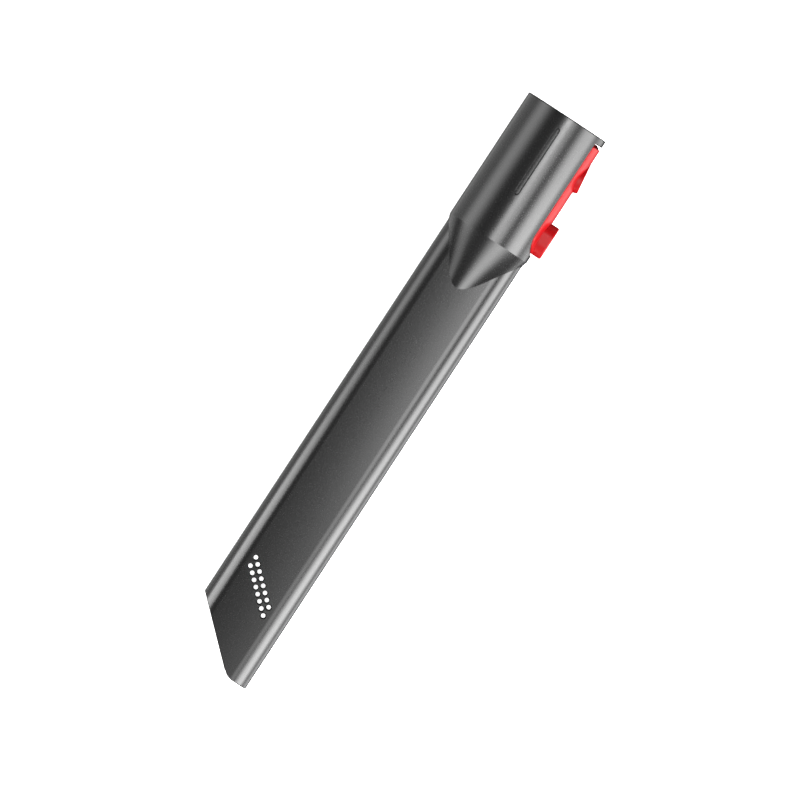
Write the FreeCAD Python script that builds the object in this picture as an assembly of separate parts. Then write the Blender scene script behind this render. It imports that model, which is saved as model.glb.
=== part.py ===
"""Vacuum crevice tool with a push-button release latch, lying on its flat side.

The shapes are made in the tool's own axes: X runs from the rim of the mouth to the
tip, Y points out through the latch, and Z stands on the flat side. At the end they
are laid on the floor together. Every size is in millimetres and every angle in degrees.
"""

import FreeCAD, Part
import math
import os

# Whole tool
LENGTH = 282.2
WALL = 2.0

# Socket that pushes onto the cleaner's wand, and the stop at its end
SOCKET_R = 17.3
SOCKET_WALL = 2.4
SOCKET_DEPTH = 34.0
ENTRY_RELIEF = 0.3
STOP_HEIGHT = 1.4
STOP_THICKNESS = 2.0
RIM_CHAMFER = 0.6
RIM_OUTER_CHAMFER = 0.4

# Collar around the socket
COLLAR_LENGTH = 62.3
COLLAR_R = SOCKET_R + SOCKET_WALL
COLLAR_HOLLOW_R = COLLAR_R - WALL

# Cone from the collar to the flat tube: a rounded shoulder, then a straight slope
CREASE_SLOPE = 18.5
SHOULDER_R = 130.0
CONE_SLOPE = 24.94

# Flat tube
TUBE_WIDTH = 37.9
TUBE_THICKNESS = 17.5

# Slanted tip: the nose is what the cut leaves of the tube's square end
NOSE_WIDTH = 9.6
NOSE_CORNER_R = 7.0
CUT_SLOPE = 42.65

# Bleed holes, in rows along the slanted cut
HOLE_R = 1.2
HOLE_ROWS = 2
HOLES_PER_ROW = 8
HOLE_STEP_X = 2.13
HOLE_STEP_Y = 2.344
HOLE_FIRST_Y = -8.27
HOLE_FIRST_X = LENGTH - 49.6
ROW_SHIFT_X = 4.32

# Groove along the top of the collar
GROOVE_START = 6.2
GROOVE_LENGTH = 34.3
GROOVE_WIDTH = 1.7
GROOVE_DEPTH = 0.5

# Window for the latch
WINDOW_START = 3.15
WINDOW_END = COLLAR_LENGTH - 3.5
WINDOW_HALF_WIDTH = 10.9
WINDOW_END_CORNER_R = 8.85
WINDOW_START_CORNER_R = 0.8
WINDOW_EDGE_Y = math.sqrt(COLLAR_R**2 - WINDOW_HALF_WIDTH**2)

# Latch plate, and its gaps in the window
SIDE_GAP = 0.35
START_GAP = 0.65
END_GAP = 0.85
LATCH_START = WINDOW_START + START_GAP
LATCH_END = WINDOW_END - END_GAP
LATCH_HALF_WIDTH = WINDOW_HALF_WIDTH - SIDE_GAP
PLATE_CLEARANCE = 0.35
PLATE_INNER_R = SOCKET_R + PLATE_CLEARANCE
PLATE_FRONT_LEAN = 0.95

# Latch hinge: trunnions moulded on the latch turn in blind holes beside the pocket
HINGE_X = SOCKET_DEPTH + 3.0
HINGE_Y = WINDOW_EDGE_Y - 2.97
HINGE_HOLE_R = 1.2
HINGE_CLEARANCE = 0.05
HINGE_HOLE_DEPTH = 1.4
HINGE_END_GAP = 0.35
HINGE_BAR_R = 1.4
HINGE_RIB_THICKNESS = 1.8

# Hook inside the mouth, which drops into a recess of the wand
HOOK_START = LATCH_START + 0.8
HOOK_RAMP_LENGTH = 2.2
HOOK_LENGTH = 3.8
HOOK_DEPTH = 1.5
HOOK_HALF_WIDTH = 6.0
HOOK_END = HOOK_START + HOOK_LENGTH
ENTRY_DEPTH = HOOK_END + 1.6

# Wedge outside the mouth
WEDGE_START = LATCH_START + 7.3
WEDGE_CREST = WEDGE_START + 14.2
WEDGE_FOOT = WEDGE_CREST + 0.6
WEDGE_HEIGHT = 1.9
WEDGE_SHOULDER = WEDGE_START + 6.4
WEDGE_HALF_WIDTH = 6.9
WEDGE_FRONT_HALF_WIDTH = 1.2
WEDGE_FRONT_R = 0.8
WEDGE_SHOULDER_R = 8.0
WEDGE_CORNER_R = 4.5

# Thumb pad, oval in plan and dished in the middle
THUMB_LENGTH = 15.75
THUMB_START = LATCH_END - THUMB_LENGTH
THUMB_MIDDLE = THUMB_START + THUMB_LENGTH / 2
THUMB_HEIGHT = 4.0
THUMB_HALF_WIDTH = 6.6
THUMB_CORNER_R = 5.9
DISH_DEPTH = 0.6
DISH_PLAN_R = 5.2

# Lip that runs on below the collar's edge and stops the latch, and the boss that carries it
LIP_GAP = 0.05
LIP_THICKNESS = 1.25
LIP_REACH = 1.2
LIP_END_GAP = 0.7
LIP_TOP_R = COLLAR_HOLLOW_R - LIP_GAP
BOSS_INNER_R = LIP_TOP_R - LIP_THICKNESS
BOSS_HALF_WIDTH = 5.3
BOSS_START = THUMB_MIDDLE - 5.2

# Pocket that closes the latch's room off from the duct
POCKET_WALL = 1.6
POCKET_FLOOR_Y = HINGE_Y - HINGE_BAR_R - 0.4
POCKET_END = WINDOW_END + LIP_REACH + LIP_END_GAP

# Return spring between the pocket's floor and a cup in the thumb pad
SPRING_OUTER_R = 2.8
SPRING_WIRE_R = 0.25
SPRING_WIRE_SIDES = 5
SPRING_TURNS = 4.5
CUP_CLEARANCE = 0.4
CUP_ROOF_Y = COLLAR_R + 0.5
PEG_CLEARANCE = 0.5
PEG_R = SPRING_OUTER_R - 2 * SPRING_WIRE_R - PEG_CLEARANCE
PEG_HEIGHT = 1.6

# A cutter runs this far past the surface it opens, and a joined block this far into its wall
OVERRUN = 1.0
BITE = 0.4

X_AXIS = FreeCAD.Vector(1, 0, 0)
Y_AXIS = FreeCAD.Vector(0, 1, 0)
Z_AXIS = FreeCAD.Vector(0, 0, 1)


def point(x, y, z=0.0):
    return FreeCAD.Vector(x, y, z)


def rod_along_x(radius, start, end):
    """A round rod on the tool's own axis."""
    return Part.makeCylinder(radius, end - start, point(start, 0), X_AXIS)


def rod_along_z(radius, x, y, half_length):
    return Part.makeCylinder(radius, 2 * half_length, point(x, y, -half_length), Z_AXIS)


def block(x_range, y_range, half_width):
    """A box that is centred on Z = 0."""
    corner = point(x_range[0], y_range[0], -half_width)
    return Part.makeBox(x_range[1] - x_range[0], y_range[1] - y_range[0], 2 * half_width, corner)


def spun(edges):
    """The solid that a closed outline in the XY plane sweeps around the tool's axis."""
    face = Part.Face(Part.Wire(edges))
    return face.revolve(point(0, 0), X_AXIS, 360)


def lines(corners):
    """Straight edges through the corners in turn, left open at the end."""
    return [Part.makeLine(point(*a), point(*b)) for a, b in zip(corners, corners[1:])]


def rounded_face(corners, radii):
    """A flat face on the corners in turn, each rounded by its radius. A radius of 0 leaves it sharp."""
    arcs = []
    stops = []
    for number, (corner, radius) in enumerate(zip(corners, radii)):
        back = (corners[number - 1] - corner).normalize()
        ahead = (corners[(number + 1) % len(corners)] - corner).normalize()
        half_angle = back.getAngle(ahead) / 2
        cut = radius / math.tan(half_angle)
        start = corner + back * cut
        end = corner + ahead * cut
        stops.append((start, end))
        if radius:
            inward = (back + ahead).normalize()
            middle = corner + inward * (radius / math.sin(half_angle) - radius)
            arcs.append(Part.Arc(start, middle, end).toShape())
    following = stops[1:] + stops[:1]
    sides = [Part.makeLine(here[1], there[0]) for here, there in zip(stops, following)]
    return Part.Face(Part.Wire(Part.__sortEdges__(sides + arcs)))


def plan_prism(corners, radii, half_width):
    """A prism on an outline in the XY plane, centred on Z = 0."""
    face = rounded_face([point(x, y, -half_width) for x, y in corners], radii)
    return face.extrude(Z_AXIS * 2 * half_width)


def side_prism(half_outline, radii, y_range):
    """A prism along Y on an outline in X and Z that is the same on both sides of Z = 0.

    half_outline lists the corners at positive Z, and radii the rounding of each.
    """
    ring = half_outline + [(x, -z) for x, z in reversed(half_outline)]
    face = rounded_face([point(x, y_range[0], z) for x, z in ring], radii + radii[::-1])
    return face.extrude(Y_AXIS * (y_range[1] - y_range[0]))


def shoulder():
    """The arc that leaves the collar's crease and runs smoothly into the cone, and its far end."""
    crease_slope = math.radians(CREASE_SLOPE)
    cone_slope = math.radians(CONE_SLOPE)
    half_slope = (crease_slope + cone_slope) / 2
    start = point(COLLAR_LENGTH, COLLAR_R)
    centre = start - point(math.sin(crease_slope), math.cos(crease_slope)) * SHOULDER_R
    middle = centre + point(math.sin(half_slope), math.cos(half_slope)) * SHOULDER_R
    end = centre + point(math.sin(cone_slope), math.cos(cone_slope)) * SHOULDER_R
    return Part.Arc(start, middle, end).toShape(), end


def down_the_cone(radius):
    """Where the cone has shrunk to a radius, as a distance from the rim and that radius."""
    start = shoulder()[1]
    return start.x + (start.y - radius) / math.tan(math.radians(CONE_SLOPE)), radius


def collar_and_cone():
    """The solid outside of the round end, from the rim to where the cone is lost in the tube."""
    arc, cone_start = shoulder()
    cone_end = down_the_cone(TUBE_THICKNESS / 2 - WALL / 2)
    rim = [(0, 0), (0, COLLAR_R - RIM_OUTER_CHAMFER), (RIM_OUTER_CHAMFER, COLLAR_R)]
    rear = [(cone_start.x, cone_start.y), cone_end, (cone_end[0], 0), (0, 0)]
    return spun(lines(rim + [(COLLAR_LENGTH, COLLAR_R)]) + [arc] + lines(rear))


def round_cavity():
    """The socket, its stop, and the hollow of the collar and the cone."""
    entry_r = SOCKET_R + ENTRY_RELIEF
    entry_end = ENTRY_DEPTH - ENTRY_RELIEF
    stop_r = SOCKET_R - STOP_HEIGHT
    stop_end = SOCKET_DEPTH + STOP_THICKNESS
    drop = WALL / math.cos(math.radians(CONE_SLOPE))
    cone_start = shoulder()[1]
    cone_end = down_the_cone(TUBE_THICKNESS / 2)
    mouth = [(0, 0), (0, entry_r + RIM_CHAMFER), (RIM_CHAMFER, entry_r), (entry_end, entry_r)]
    socket = [(ENTRY_DEPTH, SOCKET_R), (SOCKET_DEPTH, SOCKET_R)]
    stop = [(SOCKET_DEPTH, stop_r), (stop_end, stop_r), (stop_end, COLLAR_HOLLOW_R)]
    hollow = [(COLLAR_LENGTH, COLLAR_HOLLOW_R), (cone_start.x, cone_start.y - drop)]
    end = [(cone_end[0], cone_end[1] - drop), (cone_end[0], 0), (0, 0)]
    return spun(lines(mouth + socket + stop + hollow + end))


def flat_bar(width, thickness, start, end):
    """A bar along X with two flats and two half-round sides."""
    side_y = (width - thickness) / 2
    middle = block((start, end), (-side_y, side_y), thickness / 2)
    sides = [rod_along_x(thickness / 2, start, end) for _ in range(2)]
    for side, y in zip(sides, (-side_y, side_y)):
        side.translate(point(0, y))
    return middle.fuse(sides).removeSplitter()


def tip_outline():
    """Everything that the slanted cut leaves standing, as a prism on the tool's plan."""
    side = TUBE_WIDTH / 2 + OVERRUN
    nose_y = TUBE_WIDTH / 2 - NOSE_WIDTH
    cut_x = LENGTH - (nose_y + side) * math.tan(math.radians(CUT_SLOPE))
    corners = [(0, -side), (cut_x, -side), (LENGTH, nose_y), (LENGTH, side), (0, side)]
    return plan_prism(corners, (0, 0, NOSE_CORNER_R, 0, 0), TUBE_THICKNESS)


def bleed_holes():
    holes = []
    for row in range(HOLE_ROWS):
        for number in range(HOLES_PER_ROW):
            x = HOLE_FIRST_X + row * ROW_SHIFT_X + number * HOLE_STEP_X
            y = HOLE_FIRST_Y + number * HOLE_STEP_Y
            holes.append(rod_along_z(HOLE_R, x, y, TUBE_THICKNESS / 2 + OVERRUN))
    return holes


def flat_tube():
    """The outside of the flat tube with its slanted tip, from inside the collar on."""
    return flat_bar(TUBE_WIDTH, TUBE_THICKNESS, COLLAR_LENGTH, LENGTH).common(tip_outline())


def duct():
    """The hollow of the flat tube, run out past the tip."""
    return flat_bar(TUBE_WIDTH - 2 * WALL, TUBE_THICKNESS - 2 * WALL, COLLAR_LENGTH, LENGTH + OVERRUN)


def groove():
    """The round-bottomed groove on top of the collar, with rounded ends."""
    half_width = GROOVE_WIDTH / 2
    radius = (half_width**2 + GROOVE_DEPTH**2) / (2 * GROOVE_DEPTH)
    height = COLLAR_R - GROOVE_DEPTH + radius
    start = point(GROOVE_START + half_width, 0, height)
    end = point(GROOVE_START + GROOVE_LENGTH - half_width, 0, height)
    bar = Part.makeCylinder(radius, end.x - start.x, start, X_AXIS)
    return bar.fuse([Part.makeSphere(radius, start), Part.makeSphere(radius, end)])


def pocket_housing():
    """The thick side of the duct that the latch's pocket is sunk in."""
    floor_y = POCKET_FLOOR_Y - POCKET_WALL
    end = POCKET_END + POCKET_WALL
    rod = rod_along_x(COLLAR_HOLLOW_R + BITE, SOCKET_DEPTH, end)
    return rod.common(block((SOCKET_DEPTH, end), (floor_y, COLLAR_R), COLLAR_R))


def window_and_pocket():
    """The opening for the latch, and the room for the lip below the collar's edge."""
    outline = [(WINDOW_START, WINDOW_HALF_WIDTH), (WINDOW_END, WINDOW_HALF_WIDTH)]
    radii = (WINDOW_START_CORNER_R, WINDOW_END_CORNER_R)
    opening = side_prism(outline, radii, (POCKET_FLOOR_Y, COLLAR_R + OVERRUN))
    lip_room = block((THUMB_MIDDLE, POCKET_END), (POCKET_FLOOR_Y, COLLAR_R), BOSS_HALF_WIDTH + SIDE_GAP)
    return opening.fuse(lip_room.common(rod_along_x(COLLAR_HOLLOW_R, THUMB_MIDDLE, POCKET_END)))


def spring_peg():
    base = point(THUMB_MIDDLE, POCKET_FLOOR_Y - BITE, 0)
    return Part.makeCylinder(PEG_R, PEG_HEIGHT + BITE, base, Y_AXIS)


def tool_body():
    """The one moulding: collar, cone and flat tube."""
    shell = collar_and_cone().fuse(flat_tube())
    shell = shell.cut([round_cavity(), duct()])
    shell = shell.fuse(pocket_housing())
    hinge_holes = rod_along_z(HINGE_HOLE_R, HINGE_X, HINGE_Y, WINDOW_HALF_WIDTH + HINGE_HOLE_DEPTH)
    shell = shell.cut([window_and_pocket(), hinge_holes, groove()] + bleed_holes())
    return shell.fuse(spring_peg()).removeSplitter()


def latch_plate():
    """The curved plate that fills the window flush with the collar, its front edge leaning back."""
    radii = (WINDOW_START_CORNER_R, WINDOW_END_CORNER_R - SIDE_GAP)
    outline = [(LATCH_START, LATCH_HALF_WIDTH), (LATCH_END, LATCH_HALF_WIDTH)]
    front = [(LATCH_START, PLATE_INNER_R), (LATCH_START + PLATE_FRONT_LEAN, COLLAR_R)]
    rear = [(COLLAR_LENGTH, COLLAR_R), (COLLAR_LENGTH, PLATE_INNER_R)]
    skin = spun(lines(front + rear + front[:1]))
    return skin.common(side_prism(outline, radii, (0, COLLAR_R + OVERRUN)))


def hinge_bar():
    """A rib below the plate that carries the round hinge bar and its two trunnions."""
    half_rib = HINGE_RIB_THICKNESS / 2
    rib = block((HINGE_X - half_rib, HINGE_X + half_rib), (HINGE_Y, COLLAR_R), LATCH_HALF_WIDTH)
    rib = rib.common(rod_along_x(PLATE_INNER_R + BITE, 0, COLLAR_LENGTH))
    bar = rod_along_z(HINGE_BAR_R, HINGE_X, HINGE_Y, LATCH_HALF_WIDTH)
    trunnion_end = WINDOW_HALF_WIDTH + HINGE_HOLE_DEPTH - HINGE_END_GAP
    trunnions = rod_along_z(HINGE_HOLE_R - HINGE_CLEARANCE, HINGE_X, HINGE_Y, trunnion_end)
    return rib.fuse([bar, trunnions])


def hook():
    """The catch inside the mouth: a ramp towards the rim, and a square face behind it."""
    tip_y = SOCKET_R - HOOK_DEPTH
    root_y = PLATE_INNER_R + BITE
    ramp_end = HOOK_START + HOOK_RAMP_LENGTH
    corners = [(HOOK_START, root_y), (HOOK_START, SOCKET_R), (ramp_end, tip_y)]
    corners += [(HOOK_END, tip_y), (HOOK_END, root_y)]
    return plan_prism(corners, (0,) * len(corners), HOOK_HALF_WIDTH)


def wedge():
    """The raised wedge on the outside, with a shield-shaped plan."""
    crest_y = COLLAR_R + WEDGE_HEIGHT
    root_y = PLATE_INNER_R + BITE
    corners = [(WEDGE_START, root_y), (WEDGE_START, COLLAR_R), (WEDGE_CREST, crest_y)]
    corners += [(WEDGE_FOOT, COLLAR_R), (WEDGE_FOOT, root_y)]
    ramp = plan_prism(corners, (0,) * len(corners), COLLAR_R)
    front = (WEDGE_START, WEDGE_FRONT_HALF_WIDTH)
    shield = [front, (WEDGE_SHOULDER, WEDGE_HALF_WIDTH), (WEDGE_FOOT, WEDGE_HALF_WIDTH)]
    radii = (WEDGE_FRONT_R, WEDGE_SHOULDER_R, WEDGE_CORNER_R)
    return ramp.common(side_prism(shield, radii, (0, crest_y + OVERRUN)))


def thumb_pad():
    """The raised oval pad for the thumb, with a shallow dish in its top."""
    top_y = COLLAR_R + THUMB_HEIGHT
    outline = [(THUMB_START, THUMB_HALF_WIDTH), (LATCH_END, THUMB_HALF_WIDTH)]
    pad = side_prism(outline, (THUMB_CORNER_R, THUMB_CORNER_R), (0, top_y))
    pad = pad.cut(rod_along_x(PLATE_INNER_R + BITE, 0, COLLAR_LENGTH))
    dish_r = (DISH_PLAN_R**2 + DISH_DEPTH**2) / (2 * DISH_DEPTH)
    return pad.cut(Part.makeSphere(dish_r, point(THUMB_MIDDLE, top_y - DISH_DEPTH + dish_r)))


def boss_and_lip():
    """The thickened middle below the thumb, run on as a lip below the collar's edge."""
    lip_end = WINDOW_END + LIP_REACH
    skin = rod_along_x(PLATE_INNER_R + BITE, 0, lip_end).cut(rod_along_x(BOSS_INNER_R, 0, lip_end))
    whole = skin.common(block((BOSS_START, lip_end), (0, COLLAR_R), BOSS_HALF_WIDTH))
    above_lip = rod_along_x(COLLAR_R, LATCH_END, lip_end).cut(rod_along_x(LIP_TOP_R, 0, lip_end))
    return whole.cut(above_lip)


def release_latch():
    """The one moulding that rocks in the window: press the pad and the hook lifts."""
    latch = latch_plate().fuse([hinge_bar(), hook(), wedge(), thumb_pad(), boss_and_lip()])
    cup = Part.makeCylinder(SPRING_OUTER_R + CUP_CLEARANCE, CUP_ROOF_Y, point(THUMB_MIDDLE, 0), Y_AXIS)
    return latch.cut(cup).removeSplitter()


def latch_spring():
    """A steel compression spring along Y with its ends ground flat.

    Its wire has flat sides, so that its mesh stays light.
    """
    length = CUP_ROOF_Y - POCKET_FLOOR_Y
    coil_r = SPRING_OUTER_R - SPRING_WIRE_R
    helix = Part.makeHelix(length / SPRING_TURNS, length, coil_r)
    ring = []
    for side in range(SPRING_WIRE_SIDES + 1):
        turn = 2 * math.pi * side / SPRING_WIRE_SIDES
        ring.append(point(coil_r, 0, 0) + point(math.cos(turn), 0, math.sin(turn)) * SPRING_WIRE_R)
    coil = Part.Wire(helix.Edges).makePipeShell([Part.makePolygon(ring)], True, True)
    coil.rotate(point(0, 0, 0), X_AXIS, -90)
    coil.translate(point(THUMB_MIDDLE, POCKET_FLOOR_Y, 0))
    return coil.common(block((0, LENGTH), (POCKET_FLOOR_Y, CUP_ROOF_Y), COLLAR_R))


def lying_on_floor():
    """Lay the tool down on the collar's crease and the tip, over the middle of its footprint."""
    pitch = math.atan2(COLLAR_R - TUBE_THICKNESS / 2, LENGTH - COLLAR_LENGTH)
    lift = COLLAR_R * math.cos(pitch) + COLLAR_LENGTH * math.sin(pitch)
    back = LENGTH / 2 * math.cos(pitch)
    aside = THUMB_HEIGHT / 2
    turn = FreeCAD.Rotation(Y_AXIS, math.degrees(pitch))
    return FreeCAD.Placement(point(-back, -aside, lift), turn)


def main():
    os.makedirs("parts", exist_ok=True)
    nodes = {
        "tool_body": tool_body(),
        "release_latch": release_latch(),
        "latch_spring": latch_spring(),
    }
    for name, shape in nodes.items():
        solid = shape.Solids[0]
        solid.Placement = lying_on_floor()
        solid.exportStep("parts/" + name + ".step")


main()
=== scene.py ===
"""Looks of a vacuum crevice tool: a dark grey moulding with a red release latch.

Shapes are worked out in the tool's own axes, in millimetres: X runs from the rim of the mouth
to the tip, Y points out through the latch and Z stands on the flat side. They are then laid on
the floor, in metres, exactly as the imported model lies.
"""
import logging
import math
from collections.abc import Callable, Sequence
from dataclasses import dataclass, field
from enum import Enum

import bpy
import numpy as np
from mathutils import Matrix, Vector
from mathutils.geometry import delaunay_2d_cdt


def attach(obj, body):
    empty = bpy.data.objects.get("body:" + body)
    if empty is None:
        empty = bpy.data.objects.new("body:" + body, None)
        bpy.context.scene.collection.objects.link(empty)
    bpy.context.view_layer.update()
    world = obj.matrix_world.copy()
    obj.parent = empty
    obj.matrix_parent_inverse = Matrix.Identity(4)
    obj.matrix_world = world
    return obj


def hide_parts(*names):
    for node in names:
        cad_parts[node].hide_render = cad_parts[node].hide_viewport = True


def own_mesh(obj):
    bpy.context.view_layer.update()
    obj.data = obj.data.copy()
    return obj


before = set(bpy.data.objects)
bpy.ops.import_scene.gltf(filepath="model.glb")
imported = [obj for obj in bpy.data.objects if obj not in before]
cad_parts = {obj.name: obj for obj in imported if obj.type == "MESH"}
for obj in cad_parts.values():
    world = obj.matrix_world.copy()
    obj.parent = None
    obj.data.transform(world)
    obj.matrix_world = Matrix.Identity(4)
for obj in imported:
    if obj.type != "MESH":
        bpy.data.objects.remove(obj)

log = logging.getLogger("crevice_tool")


# ---------------------------------------------------------------- materials


def linear(colour: str) -> tuple[float, float, float, float]:
    """Turn an sRGB hex colour into the linear colour that a shader takes.

    Args:
        colour: six hex digits after a hash sign.

    Returns:
        Red, green, blue and an alpha of 1.
    """
    shares = [int(colour[place:place + 2], 16) / 255 for place in (1, 3, 5)]
    made = [c / 12.92 if c <= 0.04045 else ((c + 0.055) / 1.055) ** 2.4 for c in shares]
    return (made[0], made[1], made[2], 1.0)


def add_node(tree: bpy.types.NodeTree, kind: str, links: dict | None = None, sockets: dict | None = None,
             **settings: object) -> bpy.types.Node:
    """Add one node to a tree.

    Args:
        tree: the node tree.
        kind: the node's Blender type.
        links: output sockets, by the name or number of the input that each one feeds.
        sockets: plain values, by the name or number of their input.
        settings: the node's own properties.

    Returns:
        The node.
    """
    node = tree.nodes.new(kind)
    for name, value in settings.items():
        setattr(node, name, value)
    for name, value in (sockets or {}).items():
        node.inputs[name].default_value = value
    for name, output in (links or {}).items():
        tree.links.new(output, node.inputs[name])
    return node


def new_material(name: str) -> tuple[bpy.types.Material, bpy.types.NodeTree]:
    """Make an empty material.

    Args:
        name: the material's name.

    Returns:
        The material and its cleared node tree.
    """
    material = bpy.data.materials.new(name)
    material.use_nodes = True
    material.node_tree.nodes.clear()
    return material, material.node_tree


def add_noise(tree: bpy.types.NodeTree, place: bpy.types.NodeSocket, size_mm: float, detail: float = 2.0,
              roughness: float = 0.5) -> bpy.types.NodeSocket:
    """Add noise with spots of a real size.

    Args:
        tree: the material's node tree.
        place: the points that it is read at, in metres.
        size_mm: the size of its spots.
        detail: how many finer layers lie on them.
        roughness: how strong those are.

    Returns:
        The noise, from 0 to 1.
    """
    return add_node(tree, "ShaderNodeTexNoise", {"Vector": place},
                    {"Scale": 1000 / size_mm, "Detail": detail, "Roughness": roughness}).outputs["Fac"]


def add_range(tree: bpy.types.NodeTree, value: bpy.types.NodeSocket, source: tuple[float, float],
              result: tuple[float, float] = (0.0, 1.0), smooth: bool = False) -> bpy.types.NodeSocket:
    """Add a node that carries values from one range over to another.

    Args:
        tree: the node tree.
        value: the values.
        source: the range that they come from.
        result: the range that they go to.
        smooth: whether the ends are eased.

    Returns:
        The values in the second range.
    """
    return add_node(tree, "ShaderNodeMapRange", {"Value": value},
                    {"From Min": source[0], "From Max": source[1], "To Min": result[0], "To Max": result[1]},
                    interpolation_type="SMOOTHSTEP" if smooth else "LINEAR").outputs["Result"]


def add_tint(tree: bpy.types.NodeTree, share: bpy.types.NodeSocket, colour: str,
             shade: str) -> bpy.types.NodeSocket:
    """Mix two hex colours by a pattern and return the mix."""
    return add_node(tree, "ShaderNodeMix", {"Factor": share}, {6: linear(colour), 7: linear(shade)},
                    data_type="RGBA").outputs[2]


def add_relief(tree: bpy.types.NodeTree, height: bpy.types.NodeSocket, depth_mm: float) -> bpy.types.NodeSocket:
    """Turn a pattern into relief of a real depth and return the surface's normal."""
    return add_node(tree, "ShaderNodeBump", {"Height": height},
                    {"Strength": 1.0, "Distance": depth_mm / 1000}).outputs["Normal"]


def add_surface(tree: bpy.types.NodeTree, links: dict, sockets: dict) -> None:
    """Give a material its surface, with these inputs linked and these ones set."""
    surface = add_node(tree, "ShaderNodeBsdfPrincipled", links, sockets)
    add_node(tree, "ShaderNodeOutputMaterial", {"Surface": surface.outputs["BSDF"]})


@dataclass(frozen=True)
class SparkErodedAbs:
    """Dark grey ABS moulded in a spark-eroded tool.

    The fine pits that the eroded steel prints on the plastic give the eye a satin face: long soft
    highlights with a faint even grain, and no mirror image anywhere.
    """

    colour: str = "#161616"
    shade: str = "#141414"
    roughness: float = 0.25
    roughness_spread: float = 0.03
    ior: float = 1.54
    specular: float = 0.5
    # The real pits are 0.05 to 0.1 mm wide, too fine to show, so they are drawn about as wide as a pixel.
    grain_mm: float = 0.5
    grain_depth_mm: float = 0.0015
    grain_roughness: float = 0.6
    grain_range: tuple[float, float] = (0.3, 0.7)
    # The shade changes faintly along the flow of the melt.
    flow_mm: float = 24.0

    def make(self) -> bpy.types.Material:
        """Build the material.

        Returns:
            The material.
        """
        material, tree = new_material("spark_eroded_grey_abs")
        place = add_node(tree, "ShaderNodeTexCoord").outputs["Object"]
        grain = add_noise(tree, place, self.grain_mm, roughness=self.grain_roughness)
        flow = add_noise(tree, place, self.flow_mm, detail=1.0)
        rough = add_range(tree, grain, self.grain_range,
                          (self.roughness - self.roughness_spread, self.roughness + self.roughness_spread))
        add_surface(tree, {"Base Color": add_tint(tree, flow, self.colour, self.shade), "Roughness": rough,
                           "Normal": add_relief(tree, grain, self.grain_depth_mm)},
                    {"IOR": self.ior, "Specular IOR Level": self.specular})
        return material


@dataclass(frozen=True)
class PolishedRedAbs:
    """Signal-red ABS moulded against polished steel.

    Pigment fills the plastic, so its colour stays strong in shade, and the smooth face gives the eye
    no grain and only a faint soft sheen on the rounded edges.
    """

    colour: str = "#920A0E"
    depth: str = "#86080C"
    roughness: float = 0.32
    ior: float = 1.54
    # The photograph shows little white light on the red, so the mirror share is low.
    specular: float = 0.14
    scatter: float = 0.05
    scatter_mm: float = 1.0
    ripple_mm: float = 6.0
    ripple_depth_mm: float = 0.01

    def make(self) -> bpy.types.Material:
        """Build the material.

        Returns:
            The material.
        """
        material, tree = new_material("polished_red_abs")
        ripple = add_noise(tree, add_node(tree, "ShaderNodeTexCoord").outputs["Object"], self.ripple_mm, detail=1.0)
        add_surface(tree, {"Base Color": add_tint(tree, ripple, self.colour, self.depth),
                           "Normal": add_relief(tree, ripple, self.ripple_depth_mm)},
                    {"IOR": self.ior, "Specular IOR Level": self.specular, "Roughness": self.roughness,
                     "Subsurface Weight": self.scatter, "Subsurface Scale": self.scatter_mm / 1000})
        return material


@dataclass(frozen=True)
class DrawnSpringSteel:
    """Spring steel wire, drawn and cold coiled.

    Drawing leaves a bright grey face with faint lines, which break up its reflections.
    """

    colour: str = "#A9A8A4"
    roughness: float = 0.28
    roughness_spread: float = 0.08
    # The real lines are finer than this.
    line_mm: float = 0.12

    def make(self) -> bpy.types.Material:
        """Build the material.

        Returns:
            The material.
        """
        material, tree = new_material("drawn_spring_steel")
        lines = add_noise(tree, add_node(tree, "ShaderNodeTexCoord").outputs["Object"], self.line_mm)
        rough = add_range(tree, lines, (0.0, 1.0),
                          (self.roughness - self.roughness_spread, self.roughness + self.roughness_spread))
        add_surface(tree, {"Roughness": rough}, {"Base Color": linear(self.colour), "Metallic": 1.0})
        return material


# ------------------------------------------------------------------- meshes


@dataclass(frozen=True)
class ToolAxes:
    """How the tool's own axes lie on the floor: on the collar's edge and the tip."""

    length: float = 282.2
    collar_length: float = 62.3
    collar_radius: float = 19.7
    half_thickness: float = 8.75
    aside: float = 2.0

    @property
    def pitch(self) -> float:
        """The angle that the tool's axis falls by towards the tip, in radians."""
        return math.atan2(self.collar_radius - self.half_thickness, self.length - self.collar_length)

    def turned(self, directions: np.ndarray) -> np.ndarray:
        """Turn rows of directions from the tool's axes to the floor's."""
        cos, sin = math.cos(self.pitch), math.sin(self.pitch)
        return np.asarray(directions, float) @ np.array([[cos, 0, -sin], [0, 1, 0], [sin, 0, cos]])

    def laid(self, points: np.ndarray) -> np.ndarray:
        """Lay points on the floor.

        Args:
            points: rows of points in the tool's own axes, in millimetres.

        Returns:
            The points in metres.
        """
        cos, sin = math.cos(self.pitch), math.sin(self.pitch)
        lift = self.collar_radius * cos + self.collar_length * sin
        return (self.turned(points) + [-self.length / 2 * cos, -self.aside, lift]) / 1000


AXES = ToolAxes()

# Where the return spring stands along the tool, in millimetres.
SPRING_PLACE = 50.075

# Faces whose diagonals span less than this, in square millimetres, are left out.
SLIVER = 1e-7

# This share of a panel's spacing stays free of points beside its outline.
FREE_SHARE = 0.55

# Places closer than this, in millimetres, count as the same.
NEAR = 1e-6


def new_object(name: str, data: bpy.types.ID) -> bpy.types.Object:
    """Put an object in the scene.

    Args:
        name: its name.
        data: its mesh, camera or light.

    Returns:
        The object.
    """
    made = bpy.data.objects.new(name, data)
    bpy.context.scene.collection.objects.link(made)
    return made


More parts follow.
